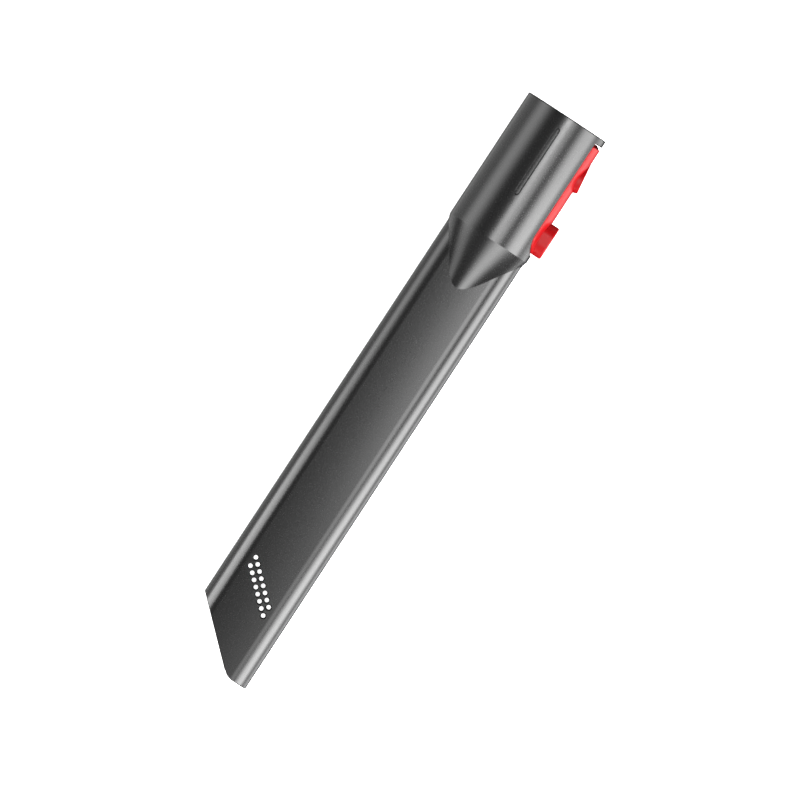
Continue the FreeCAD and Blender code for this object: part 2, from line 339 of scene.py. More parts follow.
def posed(place: np.ndarray, axes: np.ndarray) -> Matrix:
    """The matrix that puts an object at a place, with its axes as these rows."""
    return Matrix.Translation(Vector(place)) @ Matrix(axes.T.tolist()).to_4x4()


@dataclass
class Skin:
    """The surface of one piece, gathered patch by patch, with the true normal at every point."""

    points: list[np.ndarray] = field(default_factory=list)
    normals: list[np.ndarray] = field(default_factory=list)
    faces: list[np.ndarray] = field(default_factory=list)
    size: int = 0

    def add(self, points: np.ndarray, normals: np.ndarray, faces: np.ndarray) -> None:
        """Add a patch.

        Args:
            points: rows of points.
            normals: the outward normal at each.
            faces: rows of three or four point numbers.
        """
        points = np.asarray(points, float).reshape(-1, 3)
        self.points.append(points)
        self.normals.append(np.asarray(normals, float).reshape(-1, 3))
        self.faces.append(np.asarray(faces, int) + self.size)
        self.size += len(points)

    def grid(self, points: np.ndarray, normals: np.ndarray, closed: bool = False) -> None:
        """Add a patch of quads.

        Args:
            points: rows by columns of points.
            normals: the outward normal at each.
            closed: whether the last column joins the first.
        """
        points, normals = np.asarray(points, float), np.asarray(normals, float)
        rows, columns = points.shape[:2]
        row = np.arange(rows - 1)[:, None] * columns
        here = np.arange(columns if closed else columns - 1)[None, :]
        there = (here + 1) % columns
        faces = np.stack([row + here, row + there, row + columns + there, row + columns + here], -1)
        self.add(points, normals, faces.reshape(-1, 4))

    def made(self, name: str, material: bpy.types.Material) -> bpy.types.Object:
        """Turn the patches into a Blender object on the floor.

        Args:
            name: the piece's name.
            material: its finish.

        Returns:
            The object, which isn't on a body yet.
        """
        points, normals = np.vstack(self.points), np.vstack(self.normals)
        normals = normals / np.linalg.norm(normals, axis=1, keepdims=True)
        faces: list[list[int]] = []
        for block in self.faces:
            corner = points[block]
            across = np.cross(corner[:, 2] - corner[:, 0], corner[:, -1] - corner[:, 1])
            inward = np.einsum("ij,ij->i", across, normals[block].sum(1)) < 0
            block = np.where(inward[:, None], block[:, ::-1], block)
            faces += block[np.linalg.norm(across, axis=1) > SLIVER].tolist()
        mesh = bpy.data.meshes.new(name)
        mesh.from_pydata(AXES.laid(points).tolist(), [], faces)
        mesh.shade_smooth()
        mesh.normals_split_custom_set_from_vertices(AXES.turned(normals).tolist())
        mesh.materials.append(material)
        return new_object(name, mesh)


def inside(outline: np.ndarray, points: np.ndarray) -> np.ndarray:
    """Tell which points of a plan lie inside an outline.

    Args:
        outline: the outline's corners in turn.
        points: rows of plan points.

    Returns:
        One truth value a point.
    """
    start, end = outline, np.roll(outline, -1, axis=0)
    above = start[None, :, 1] > points[:, None, 1]
    crossing = above != (end[None, :, 1] > points[:, None, 1])
    rise = np.where(end[:, 1] == start[:, 1], 1.0, end[:, 1] - start[:, 1])
    reach = start[:, 0] + (points[:, None, 1] - start[:, 1]) * (end[:, 0] - start[:, 0]) / rise
    return (crossing & (points[:, None, 0] < reach)).sum(1) % 2 == 1


def clearance(loops: Sequence[np.ndarray], points: np.ndarray) -> np.ndarray:
    """Measure how far points of a plan lie from the nearest of some outlines.

    Args:
        loops: the outlines.
        points: rows of plan points.

    Returns:
        One distance a point.
    """
    start = np.vstack(loops)
    run = np.vstack([np.roll(loop, -1, axis=0) for loop in loops]) - start
    away = points[:, None] - start[None]
    share = np.clip((away * run).sum(-1) / np.maximum((run * run).sum(-1), 1e-12), 0, 1)
    return np.linalg.norm(away - share[..., None] * run, axis=-1).min(1)


def filled(outline: np.ndarray, holes: Sequence[np.ndarray], step: float) -> tuple[np.ndarray, np.ndarray]:
    """Cover a plan area with triangles.

    Args:
        outline: the area's outline.
        holes: outlines that stay open.
        step: the spacing of the points inside.

    Returns:
        The plan points and the triangles on them.
    """
    low, high = outline.min(0), outline.max(0)
    columns, rows = np.meshgrid(np.arange(low[0], high[0], step), np.arange(low[1], high[1], step))
    columns = columns + (np.arange(rows.shape[0]) % 2)[:, None] * step / 2
    grid = np.stack([columns.ravel(), rows.ravel()], 1)
    grid = grid[inside(outline, grid)]
    loops = [outline, *holes]
    grid = grid[clearance(loops, grid) > FREE_SHARE * step]
    edges, count = [], 0
    for loop in loops:
        edges += [(count + k, count + (k + 1) % len(loop)) for k in range(len(loop))]
        count += len(loop)
    corners = [Vector(p) for p in np.vstack([*loops, grid])]
    made, _, triangles, *_ = delaunay_2d_cdt(corners, edges, [], 0, 1e-6)
    plan, triangles = np.array(made), np.array(triangles)
    middle = plan[triangles].mean(1)
    keep = inside(outline, middle)
    for hole in holes:
        keep &= ~inside(hole, middle)
    return plan, triangles[keep]


def rounded_loop(corners: Sequence[tuple[float, float]], radii: Sequence[float], sides: Sequence[int],
                 turns: Sequence[int]) -> tuple[np.ndarray, np.ndarray]:
    """Round the corners of an outline that runs anticlockwise.

    Args:
        corners: the corners in turn.
        radii: the rounding of each. A radius of 0 gives a single point.
        sides: how many steps the straight run after each corner has.
        turns: how many steps each rounded corner has.

    Returns:
        The loop's points and the outward normal at each.
    """
    points, normals = [], []
    count = len(corners)
    spots = [np.array(corner, float) for corner in corners]

    def direction(number: int) -> np.ndarray:
        """The unit direction of the side that starts at a corner."""
        run = spots[(number + 1) % count] - spots[number % count]
        return run / np.linalg.norm(run)

    def ends(number: int) -> tuple[np.ndarray, np.ndarray]:
        """Find where the rounding of a corner starts and stops.

        Args:
            number: the corner's number.

        Returns:
            The two places.
        """
        before, after = direction(number - 1), direction(number)
        turn = math.acos(max(-1.0, min(1.0, float(before @ after))))
        cut = radii[number % count] * math.tan(turn / 2)
        return spots[number % count] - before * cut, spots[number % count] + after * cut

    for number in range(count):
        before, after = direction(number - 1), direction(number)
        first, last = (np.array([d[1], -d[0]]) for d in (before, after))
        if radii[number]:
            centre = ends(number)[0] - first * radii[number]
            start, stop = math.atan2(first[1], first[0]), math.atan2(last[1], last[0])
            stop += 2 * math.pi if stop < start - 1e-9 else 0.0
            for angle in np.linspace(start, stop, turns[number] + 1):
                normal = np.array([math.cos(angle), math.sin(angle)])
                points.append(centre + normal * radii[number])
                normals.append(normal)
        else:
            points.append(spots[number])
            normals.append((first + last) / np.linalg.norm(first + last))
        start, stop = ends(number)[1], ends(number + 1)[0]
        for share in np.arange(1, sides[number]) / sides[number]:
            points.append(start + (stop - start) * share)
            normals.append(last)
    return np.array(points), np.array(normals)


def spokes(angles: np.ndarray) -> np.ndarray:
    """Unit directions in plan at these angles, one row each."""
    return np.stack([np.cos(angles), np.sin(angles)], 1)


def circle(x: float, y: float, radius: float, steps: int = 24) -> tuple[np.ndarray, np.ndarray]:
    """A round outline and its outward normals.

    Args:
        x: the middle's first place.
        y: the middle's second place.
        radius: its radius.
        steps: how many points it has.

    Returns:
        The loop's points and the outward normal at each.
    """
    normals = spokes(np.arange(steps) * 2 * math.pi / steps)
    return normals * radius + [x, y], normals


class Facing(Enum):
    """Which way a sheet is seen: its plan's two axes and the direction of its height."""

    LATCH = ((1, 0, 0), (0, 0, 1), (0, 1, 0))
    TOP = ((1, 0, 0), (0, 1, 0), (0, 0, 1))
    BOTTOM = ((1, 0, 0), (0, 1, 0), (0, 0, -1))
    MOUTH = ((0, 0, 1), (0, 1, 0), (-1, 0, 0))
    TIP = ((0, 0, 1), (0, 1, 0), (1, 0, 0))


@dataclass(frozen=True)
class Sheet:
    """A surface that stands over a plan, such as a flat, a cylinder's side or a ramp.

    The height is a function of rows of plan points. A sheet seen from below has its normals turned.
    """

    facing: Facing
    height: Callable[[np.ndarray], np.ndarray]
    from_below: bool = False

    @property
    def axes(self) -> list[np.ndarray]:
        """The plan's two axes and the direction of the height."""
        return [np.array(axis, float) for axis in self.facing.value]

    def lifted(self, plan: np.ndarray, drop: float = 0.0) -> np.ndarray:
        """Lift plan points onto the sheet.

        Args:
            plan: rows of plan points.
            drop: how far below the sheet they end.

        Returns:
            Rows of points.
        """
        first, second, up = self.axes
        plan = np.asarray(plan, float)
        return plan[:, :1] * first + plan[:, 1:] * second + (self.height(plan) - drop)[:, None] * up

    def normals(self, plan: np.ndarray) -> np.ndarray:
        """Find the sheet's outward normals from its slopes.

        Args:
            plan: rows of plan points.

        Returns:
            The normal at each.
        """
        first, second, up = self.axes
        step = 1e-3
        plan = np.asarray(plan, float)
        slope = [(self.height(plan + offset) - self.height(plan - offset)) / (2 * step)
                 for offset in (np.array([step, 0]), np.array([0, step]))]
        found = up - slope[0][:, None] * first - slope[1][:, None] * second
        found /= np.linalg.norm(found, axis=1, keepdims=True)
        return -found if self.from_below else found

    def outward(self, directions: np.ndarray) -> np.ndarray:
        """Plan directions as directions in space."""
        first, second, _ = self.axes
        return directions[:, :1] * first + directions[:, 1:] * second

    def panel(self, skin: Skin, outline: np.ndarray, holes: Sequence[np.ndarray] = (), step: float = 2.0) -> None:
        """Cover an area of the sheet.

        Args:
            skin: where the patch goes.
            outline: the area's outline in plan.
            holes: outlines that stay open.
            step: the spacing of the points inside.
        """
        plan, triangles = filled(outline, holes, step)
        skin.add(self.lifted(plan), self.normals(plan), triangles)

    def rounded_edge(self, skin: Skin, loop: np.ndarray, outward: np.ndarray, radius: float, raised: bool,
                     steps: int = 4) -> np.ndarray:
        """Round the edge between the sheet and a wall that drops from it.

        Args:
            skin: where the patch goes.
            loop: the wall's outline in plan.
            outward: the loop's outward normals in plan.
            radius: the edge's rounding.
            raised: true for a wall around a raised form, false for a wall inside an opening.
            steps: how many strips the rounding has.

        Returns:
            The top of the wall, as rows of points.
        """
        side = -1.0 if raised else 1.0
        rows, normals = [], []
        for turn in np.linspace(0, math.pi / 2, steps + 1):
            plan = loop + side * radius * (1 - math.sin(turn)) * outward
            rows.append(self.lifted(plan, radius * (1 - math.cos(turn))))
            normals.append(math.cos(turn) * self.normals(plan) - side * math.sin(turn) * self.outward(outward))
        skin.grid(rows, normals, closed=True)
        return rows[-1]


def around(angles: np.ndarray, along: np.ndarray | float, radius: np.ndarray | float) -> np.ndarray:
    """Points at these angles around the tool's axis, or directions in the same way, one row each."""
    return np.stack([np.broadcast_to(along, angles.shape), radius * np.sin(angles), radius * np.cos(angles)], 1)


def lathe(skin: Skin, angles: np.ndarray, profile: Sequence[tuple[float, float]],
          normals: Sequence[tuple[float, float]], closed: bool = True) -> None:
    """Sweep a profile around the tool's axis.

    Args:
        skin: where the patch goes.
        angles: the angles from the flat side towards the latch, in radians.
        profile: places along the axis and radii.
        normals: the outward normal at each, along the axis and outwards.
        closed: whether the last angle joins the first.
    """
    skin.grid([around(angles, x, r) for x, r in profile], [around(angles, x, r) for x, r in normals], closed)


def quarter(centre: tuple[float, float], radius: float, start: float, stop: float,
            steps: int = 4) -> tuple[list, list]:
    """A profile's rounded corner.

    Args:
        centre: the middle of the rounding.
        radius: the rounding.
        start: the first angle from the axis, in degrees.
        stop: the last one.
        steps: how many steps the rounding has.

    Returns:
        The profile's points and normals.
    """
    normals = [(math.cos(a), math.sin(a)) for a in np.radians(np.linspace(start, stop, steps + 1))]
    return [(centre[0] + radius * c, centre[1] + radius * s) for c, s in normals], normals


def wall(skin: Skin, top: np.ndarray, bottom: np.ndarray, normals: np.ndarray, closed: bool = True) -> None:
    """Join two matching rows of points by a wall, with one row of normals for both."""
    skin.grid([top, bottom], [normals, normals], closed)


def cylinder(radius: float) -> Callable[[np.ndarray], np.ndarray]:
    """The height of a cylinder along the tool's axis over a plan seen from its side."""
    return lambda plan: np.sqrt(np.maximum(radius ** 2 - plan[:, 1] ** 2, 0.0))


def level(height: float) -> Callable[[np.ndarray], np.ndarray]:
    """The height of a flat sheet."""
    return lambda plan: np.full(len(plan), height)


# ------------------------------------------------------------ the grey body


@dataclass(frozen=True)
class TubeSection:
    """The flat tube's section: two faintly crowned flats that run smoothly into two round sides."""

    half_width: float = 18.95
    half_thickness: float = AXES.half_thickness
    tilt: float = 2.0
    flat_steps: int = 48
    side_steps: int = 60

    @property
    def side_radius(self) -> float:
        """Work out the radius of the round sides, which the flats run smoothly into.

        Returns:
            The radius.
        """
        tilt = math.radians(self.tilt)
        share = math.tan(tilt / 2)
        reach = self.half_thickness - self.half_width * share
        return reach / (math.cos(tilt) - share * (1 - math.sin(tilt)))

    @property
    def side_centre(self) -> float:
        """How far the middle of a round side is from the tool's axis."""
        return self.half_width - self.side_radius

    @property
    def crown_radius(self) -> float:
        """The radius of the flats' crown."""
        tilt = math.radians(self.tilt)
        return (self.side_centre + self.side_radius * math.sin(tilt)) / math.sin(tilt)

    @property
    def flat_reach(self) -> float:
        """Where a flat ends and the round side starts."""
        return self.crown_radius * math.sin(math.radians(self.tilt))

    def flat_height(self, inset: float = 0.0) -> Callable[[np.ndarray], np.ndarray]:
        """The height of a flat over the plan, or of its inner face at this inset."""
        radius = self.crown_radius
        return lambda plan: self.half_thickness - radius + np.sqrt((radius - inset) ** 2 - plan[:, 1] ** 2)

    def ring(self) -> tuple[np.ndarray, np.ndarray]:
        """The section's points and normals in turn, from the start of the upper flat.

        Returns:
            Rows of places and rows of normals, each across and up.
        """
        far = math.atan2(self.flat_reach, self.half_thickness)
        across = self.half_thickness * np.tan(np.linspace(-far, far, self.flat_steps + 1))
        across[0], across[-1] = -self.flat_reach, self.flat_reach
        lean = across / self.crown_radius
        flat = np.stack([lean, np.sqrt(1 - lean ** 2)], 1)
        top = flat * self.crown_radius + [0, self.half_thickness - self.crown_radius]
        turn = np.radians(np.linspace(self.tilt, 180 - self.tilt, self.side_steps + 1))
        side = np.stack([np.sin(turn), np.cos(turn)], 1)
        right = side * self.side_radius + [self.side_centre, 0]
        points = np.vstack([top[:-1], right[:-1], -top[:-1], -right[:-1]])
        return points, np.vstack([flat[:-1], side[:-1], -flat[:-1], -side[:-1]])


@dataclass(frozen=True)
class Window:
    """The opening in the collar's side that the latch sits in, and the pocket below it."""

    start: float = 3.15
    end: float = 58.8
    half_width: float = 10.9
    start_corner: float = 0.8
    end_corner: float = 8.85
    edge: float = 0.3
    pocket_start: float = 34.0
    floor: float = 11.64
    floor_under: float = 10.04
    housing_end: float = AXES.collar_length
    lip_half_width: float = 5.65
    lip_end: float = 60.7
    peg_radius: float = 1.8
    peg_height: float = 1.6

    def loop(self) -> tuple[np.ndarray, np.ndarray]:
        """Find the opening's outline.

        Returns:
            The outline, anticlockwise in plan, and its outward normals.
        """
        corners = [(self.start, -self.half_width), (self.pocket_start, -self.half_width),
                   (self.end, -self.half_width), (self.end, self.half_width),
                   (self.pocket_start, self.half_width), (self.start, self.half_width)]
        small, large = self.start_corner, self.end_corner
        return rounded_loop(corners, (small, 0, large, large, 0, small), sides=(16, 10, 6, 10, 16, 12),
                            turns=(6, 0, 16, 16, 0, 6))

    def parts(self, loop: np.ndarray) -> tuple[np.ndarray, np.ndarray, np.ndarray]:
        """Tell which points of the outline lie before the pocket, along it and at the lip's room.

        Args:
            loop: the outline.

        Returns:
            Three rows of truth values. Points on the pocket's front edge are in the first two.
        """
        along, across = loop[:, 0], np.abs(loop[:, 1])
        lip = (across < self.lip_half_width) & (along > self.end - self.end_corner)
        return along <= self.pocket_start + NEAR, (along >= self.pocket_start - NEAR) & ~lip, lip


@dataclass
class GreyBody:
    """The one grey moulding: the collar with its socket, the cone, the flat tube and the slanted tip."""

    section: TubeSection = field(default_factory=TubeSection)
    window: Window = field(default_factory=Window)
    wall: float = 2.0
    collar_radius: float = AXES.collar_radius
    collar_length: float = AXES.collar_length
    rim_edge: float = 0.5
    mouth_edge: float = 0.6
    entry_radius: float = 17.6
    entry_end: float = 9.7
    socket_radius: float = 17.3
    socket_start: float = 10.0
    socket_end: float = 34.0
    stop_radius: float = 15.9
    stop_end: float = 36.0
    shoulder_radius: float = 130.0
    crease_slope: float = 18.5
    cone_slope: float = 24.94
    length: float = AXES.length
    plain_start: float = 95.0
    holes_start: float = 225.0
    nose_start: float = 9.35
    nose_corner: float = 7.0
    cut_slope: float = 42.65
    tip_edge: float = 0.4
    tip_inner_edge: float = 0.2
    # The photograph shows a ring around the white of each hole, so the lower flat's holes are smaller.
    near_hole_radius: float = 1.46
    far_hole_radius: float = 0.97
    hole_edge: float = 0.06
    hole_rows: int = 2
    holes_per_row: int = 8
    hole_first: tuple[float, float] = (232.19, -8.3)
    hole_step: tuple[float, float] = (2.14, 2.338)
    hole_row_shift: float = 4.31
    # The line on top of the collar: a narrow groove runs around a middle that stays level.
    groove_start: float = 6.2
    groove_length: float = 34.3
    groove_aside: float = -0.4
    groove_middle: float = 0.85
    groove_half_width: float = 0.32
    groove_depth: float = 0.4
    groove_columns: int = 4
    # The spacing of the points inside panels, in millimetres.
    side_step: float = 1.6
    flat_step: float = 1.8
    line_step: float = 1.2
    peg_step: float = 2.0
    end_step: float = 3.0
    hidden_step: float = 4.0
    # The numbers of rows, columns and strips in the curved patches.
    collar_rows: int = 29
    line_stations: int = 18
    line_turns: int = 13
    line_rings: int = 17
    line_core: float = 0.25
    entry_rows: int = 6
    socket_rows: int = 12
    stop_columns: int = 73
    front_columns: int = 8
    back_columns: int = 30
    lip_columns: int = 12
    cone_rows: int = 23
    cone_crowding: float = 1.4
    cone_samples: int = 20001
    hollow_rows: int = 10
    tube_rows: int = 5
    tip_rows: int = 9
    tip_strips: tuple[int, int, int] = (4, 3, 3)
    hole_strips: int = 3
    skin: Skin = field(default_factory=Skin)

    def __post_init__(self) -> None:
        """Work out the columns that every ring of the body shares."""
        self.ring, self.ring_normals = self.section.ring()
        self.angles = np.unwrap(np.arctan2(self.ring[:, 0], self.ring[:, 1]))
        flat, side = self.section.flat_steps, self.section.side_steps
        self.top = np.arange(0, flat + 1)
        self.latch_side = np.arange(flat, flat + side + 1)
        self.bottom = np.arange(flat + side, 2 * flat + side + 1)
        self.far_side = np.arange(2 * flat + side, 2 * flat + 2 * side + 1) % len(self.ring)

    def face(self, inset: float) -> tuple[np.ndarray, np.ndarray]:
        """Find one face of the tube's section.

        Args:
            inset: 0 for the outside, or the wall for the duct.

        Returns:
            Its points, across and up, and the normal in space at each.
        """
        ring = self.ring - inset * self.ring_normals
        return ring, np.column_stack([np.zeros(len(ring)), self.ring_normals * (-1 if inset else 1)])

    # The outside of the round end

    def build_rim(self) -> None:
        """Make the rim of the mouth, rounded outside and inside."""
        outer = quarter((self.rim_edge, self.collar_radius - self.rim_edge), self.rim_edge, 90, 180)
        inner_radius = self.entry_radius + self.mouth_edge
        inner = quarter((self.mouth_edge, inner_radius), self.mouth_edge, 180, 270)
        lathe(self.skin, self.angles, *outer)
        lathe(self.skin, self.angles, [outer[0][-1], inner[0][0]], [(-1, 0), (-1, 0)])
        lathe(self.skin, self.angles, *inner)

    def build_collar(self) -> None:
        """Make the collar's outside, with the groove on top and the window in its side."""
        rows = np.linspace(self.rim_edge, self.collar_length, self.collar_rows)
        first = self.section.flat_steps // 2 - self.groove_columns
        last = self.section.flat_steps // 2 + self.groove_columns
        far = np.concatenate([self.bottom, self.far_side[1:]])
        for columns in (self.top[:first + 1], self.top[last:], far):
            profile = [(x, self.collar_radius) for x in rows]
            lathe(self.skin, self.angles[columns], profile, [(0, 1)] * len(rows), closed=False)
        self.build_groove(rows, self.top[first:last + 1])
        self.build_window_panel(rows)

    def groove_height(self, distance: float) -> float:
        """The height of the narrow groove around the line, at a distance from its middle line."""
        share = min(abs(distance - self.groove_middle) / self.groove_half_width, 1.0)
        return -self.groove_depth * (1 + math.cos(math.pi * share)) / 2

    def build_groove(self, rows: np.ndarray, columns: np.ndarray) -> None:
        """Make the strip on top of the collar and the outlined line on it.

        Args:
            rows: the collar's places along its axis.
            columns: the strip's columns.
        """
        face = Sheet(Facing.TOP, cylinder(self.collar_radius))
        across = self.collar_radius * np.sin(self.angles[columns])
        inner, reach = self.groove_middle - self.groove_half_width, self.groove_middle + self.groove_half_width
        start, end = self.groove_start + reach, self.groove_start + self.groove_length - reach
        stations = np.linspace(start, end, self.line_stations)
        bend = spokes(np.linspace(-math.pi / 2, math.pi / 2, self.line_turns))[1:-1]
        spine, normals = [], []
        for run, side, tip, turned in ((stations, -1.0, end, bend), (stations[::-1], 1.0, start, -bend)):
            spine += [(x, self.groove_aside) for x in (*run, *[tip] * len(bend))]
            normals += [(0.0, side)] * len(run) + turned.tolist()
        spine, normals = np.array(spine), np.array(normals)
        face.panel(self.skin, self.frame_loop(rows, across), [spine + normals * reach], self.line_step)
        points, facing = [], []
        for distance in (*np.linspace(reach, inner, self.line_rings), self.line_core, 0.0):
            plan = spine + normals * distance
            step = min(distance, 1e-3)
            rise = self.groove_height(distance + step) - self.groove_height(distance - step)
            points.append(face.lifted(plan, -self.groove_height(distance)))
            facing.append(face.normals(plan) - rise / max(2 * step, 1e-9) * face.outward(normals))
        self.skin.grid(points, facing, closed=True)

    @staticmethod
    def frame_loop(rows: np.ndarray, across: np.ndarray) -> np.ndarray:
        """The outline of a rectangle of the plan whose sides pass through the given places.

        Args:
            rows: the places along the axis.
            across: the places across it.

        Returns:
            The outline, one row a point.
        """
        low, high = [rows[0]] * len(across), [rows[-1]] * len(across)
        return np.vstack([np.stack([low, across], 1)[:-1],
                          np.stack([rows, [across[-1]] * len(rows)], 1)[:-1],
                          np.stack([high, across], 1)[::-1][:-1],
                          np.stack([rows, [across[0]] * len(rows)], 1)[::-1][:-1]])

    def build_window_panel(self, rows: np.ndarray) -> None:
        """Make the collar's side around the window, and the window's edge and walls.

        Args:
            rows: the collar's places along its axis.
        """
        window = self.window
        across = self.collar_radius * np.cos(self.angles[self.latch_side])
        outline = self.frame_loop(rows, across)
        loop, outward = window.loop()
        face = Sheet(Facing.LATCH, cylinder(self.collar_radius))
        face.panel(self.skin, outline, [loop + window.edge * outward], self.side_step)
        top = face.rounded_edge(self.skin, loop, outward, window.edge, raised=False)
        normals = -face.outward(outward)
        bore = Sheet(Facing.LATCH, self.bore_height).lifted(loop)
        hollow = Sheet(Facing.LATCH, cylinder(self.collar_radius - self.wall)).lifted(loop)
        floor = Sheet(Facing.LATCH, level(window.floor)).lifted(loop)
        for part, bottom in zip(window.parts(loop), (bore, floor, hollow)):
            for run in self.runs(part):
                wall(self.skin, top[run], bottom[run], normals[run], closed=False)

    @staticmethod
    def runs(part: np.ndarray) -> list[np.ndarray]:
        """Split a closed row of truth values into its unbroken runs of true.

        Args:
            part: the truth values.

        Returns:
            The point numbers of each run.
        """
        count = len(part)
        starts = [k for k in range(count) if part[k] and not part[k - 1]]
        found = []
        for start in starts:
            stop = start
            while part[(stop + 1) % count] and stop - start < count:
                stop += 1
            found.append(np.arange(start, stop + 2 if not part[(stop + 1) % count] else stop + 1) % count)
        return found

    def bore_height(self, plan: np.ndarray) -> np.ndarray:
        """Find the height of the socket's inside, seen from the latch's side.

        Args:
            plan: rows of plan points.

        Returns:
            The height over each.
        """
        share = np.clip((plan[:, 0] - self.entry_end) / (self.socket_start - self.entry_end), 0, 1)
        radius = self.entry_radius + (self.socket_radius - self.entry_radius) * share
        return np.sqrt(np.maximum(radius ** 2 - plan[:, 1] ** 2, 0.0))

    # The inside of the round end

    def build_socket(self) -> None:
        """Make the socket that pushes onto the wand, open where the window is."""
        window = self.window
        rows = np.concatenate([np.linspace(self.mouth_edge, self.entry_end, self.entry_rows),
                               np.linspace(self.socket_start, self.socket_end, self.socket_rows)])
        radii = np.where(rows <= self.entry_end, self.entry_radius, self.socket_radius)
        far = np.concatenate([self.bottom, self.far_side[1:], self.top[1:]])
        lathe(self.skin, self.angles[far], list(zip(rows, radii)), [(0, -1)] * len(rows), closed=False)
        edge = np.cos(self.angles[self.latch_side])
        loop, _ = window.loop()
        count = len(loop)
        start, stop = (int(np.argmin(np.abs(loop - [window.pocket_start, side]).sum(1)))
                       for side in (window.half_width, -window.half_width))
        notch = loop[np.arange(start, stop + count + 1) % count]
        first = np.stack([[self.mouth_edge] * len(edge), self.entry_radius * edge], 1)
        low = np.stack([rows, radii * edge[-1]], 1)[1:]
        high = np.stack([rows, radii * edge[0]], 1)[1:]
        outline = np.vstack([first, low, notch[::-1], high[::-1]])
        Sheet(Facing.LATCH, self.bore_height, from_below=True).panel(self.skin, outline, (), self.side_step)

    def build_stop(self) -> None:
        """Make the shoulder at the socket's end and the hollow of the collar behind it."""
        hollow = self.collar_radius - self.wall
        stop, under = self.stop_radius, self.window.floor_under

        def below_housing(radius: float) -> np.ndarray:
            """The angles at which a radius is clear of the latch's pocket."""
            reach = math.acos(under / radius)
            return np.linspace(reach, 2 * math.pi - reach, self.stop_columns) + math.pi / 2

        for x, side, outer in ((self.socket_end, -1.0, self.socket_radius), (self.stop_end, 1.0, hollow)):
            rings = [radius * spokes(below_housing(radius)) for radius in (outer, stop)]
            wall(self.skin, *(np.column_stack([np.full(len(ring), x), ring[:, ::-1]]) for ring in rings),
                 np.tile([side, 0.0, 0.0], (self.stop_columns, 1)), closed=False)
        for radius, start, end in ((stop, self.socket_end, self.stop_end),
                                   (hollow, self.stop_end, self.collar_length)):
            lathe(self.skin, below_housing(radius), [(start, radius), (end, radius)], [(0, -1)] * 2, closed=False)

    def build_housing(self) -> None:
        """Make the pocket's floor, ends and lip room below the latch."""
        window = self.window
        hollow = self.collar_radius - self.wall
        reach = math.sqrt(hollow ** 2 - window.floor_under ** 2)
        start, end = window.pocket_start, window.housing_end
        corners = np.array([[start, -reach], [end, -reach], [end, reach], [start, reach]])
        under = Sheet(Facing.LATCH, level(window.floor_under), from_below=True)
        under.panel(self.skin, corners, (), self.hidden_step)
        loop, _ = window.loop()
        rear = loop[window.parts(loop)[1]]
        rear = rear[np.argsort(rear[:, 1], kind="stable")]
        low, high = rear[rear[:, 1] < 0], rear[rear[:, 1] > 0]
        low, high = low[np.argsort(low[:, 0])], high[np.argsort(-high[:, 0])]
        room = window.lip_half_width * np.array([[0, -1], [0, 1]]) + [window.lip_end, 0]
        peg, peg_outward = circle(SPRING_PLACE, 0, window.peg_radius)
        floor = Sheet(Facing.LATCH, level(window.floor))
        floor.panel(self.skin, np.vstack([low, room, high]), [peg], self.hidden_step)
        peg_top = Sheet(Facing.LATCH, level(window.floor + window.peg_height))
        peg_top.panel(self.skin, peg, (), self.peg_step)
        wall(self.skin, peg_top.lifted(peg), floor.lifted(peg), floor.outward(peg_outward))
        half, lowest = window.half_width, math.asin(window.floor_under / hollow)
        arc = hollow * spokes(np.linspace(math.acos(half / hollow), lowest, self.front_columns))
        front = np.vstack([[half, window.floor], arc, arc[::-1] * [-1, 1], [-half, window.floor]])
        Sheet(Facing.MOUTH, level(-start)).panel(self.skin, front, (), self.end_step)
        back = hollow * spokes(np.linspace(lowest, math.pi - lowest, self.back_columns))
        Sheet(Facing.TIP, level(end)).panel(self.skin, back, (), self.end_step)
        self.build_lip_room(hollow)

    def build_lip_room(self, hollow: float) -> None:
        """Make the room for the latch's lip below the collar's edge.

        Args:
            hollow: the radius of the collar's inside.
        """
        window = self.window
        half, end = window.lip_half_width, window.lip_end
        start = window.end - window.end_corner + math.sqrt(
            window.end_corner ** 2 - (half - window.half_width + window.end_corner) ** 2)
        across = np.linspace(-half, half, self.lip_columns)
        roof = np.sqrt(hollow ** 2 - across ** 2)

        def row(x: float, height: np.ndarray | float) -> np.ndarray:
            """A row of points across the room."""
            return np.column_stack([np.full_like(across, x), np.broadcast_to(height, across.shape), across])

        wall(self.skin, row(start, roof), row(end, roof), np.column_stack([0 * across, -roof, -across]),
             closed=False)
        wall(self.skin, row(end, roof), row(end, window.floor), np.tile([-1.0, 0.0, 0.0], (len(across), 1)),
             closed=False)
        for z in (-half, half):
            side = [[(x, y, z) for x in (start, end)] for y in (window.floor, roof[0])]
            self.skin.grid(side, np.tile([0.0, 0.0, -np.sign(z)], (2, 2, 1)))

    # The cone and the flat tube

    def cone(self, x: np.ndarray) -> tuple[np.ndarray, np.ndarray]:
        """Find the shoulder and cone's outside.

        Args:
            x: places along the axis.

        Returns:
            The radius at each and its slope, in radians.
        """
        crease, slope = math.radians(self.crease_slope), math.radians(self.cone_slope)
        middle_x = self.collar_length - self.shoulder_radius * math.sin(crease)
        middle_r = self.collar_radius - self.shoulder_radius * math.cos(crease)
        end_x = middle_x + self.shoulder_radius * math.sin(slope)
        end_r = middle_r + self.shoulder_radius * math.cos(slope)
        lean = np.clip((x - middle_x) / self.shoulder_radius, -1, math.sin(slope))
        round_r = middle_r + self.shoulder_radius * np.sqrt(1 - lean ** 2)
        return (np.where(x <= end_x, round_r, end_r - (x - end_x) * math.tan(slope)),
                np.where(x <= end_x, np.arcsin(lean), slope))

    def cone_reach(self, radius: np.ndarray) -> np.ndarray:
        """Where along the axis the shoulder and cone have shrunk to each radius."""
        places = np.linspace(self.collar_length, self.plain_start, self.cone_samples)
        return np.interp(-radius, -self.cone(places)[0], places)

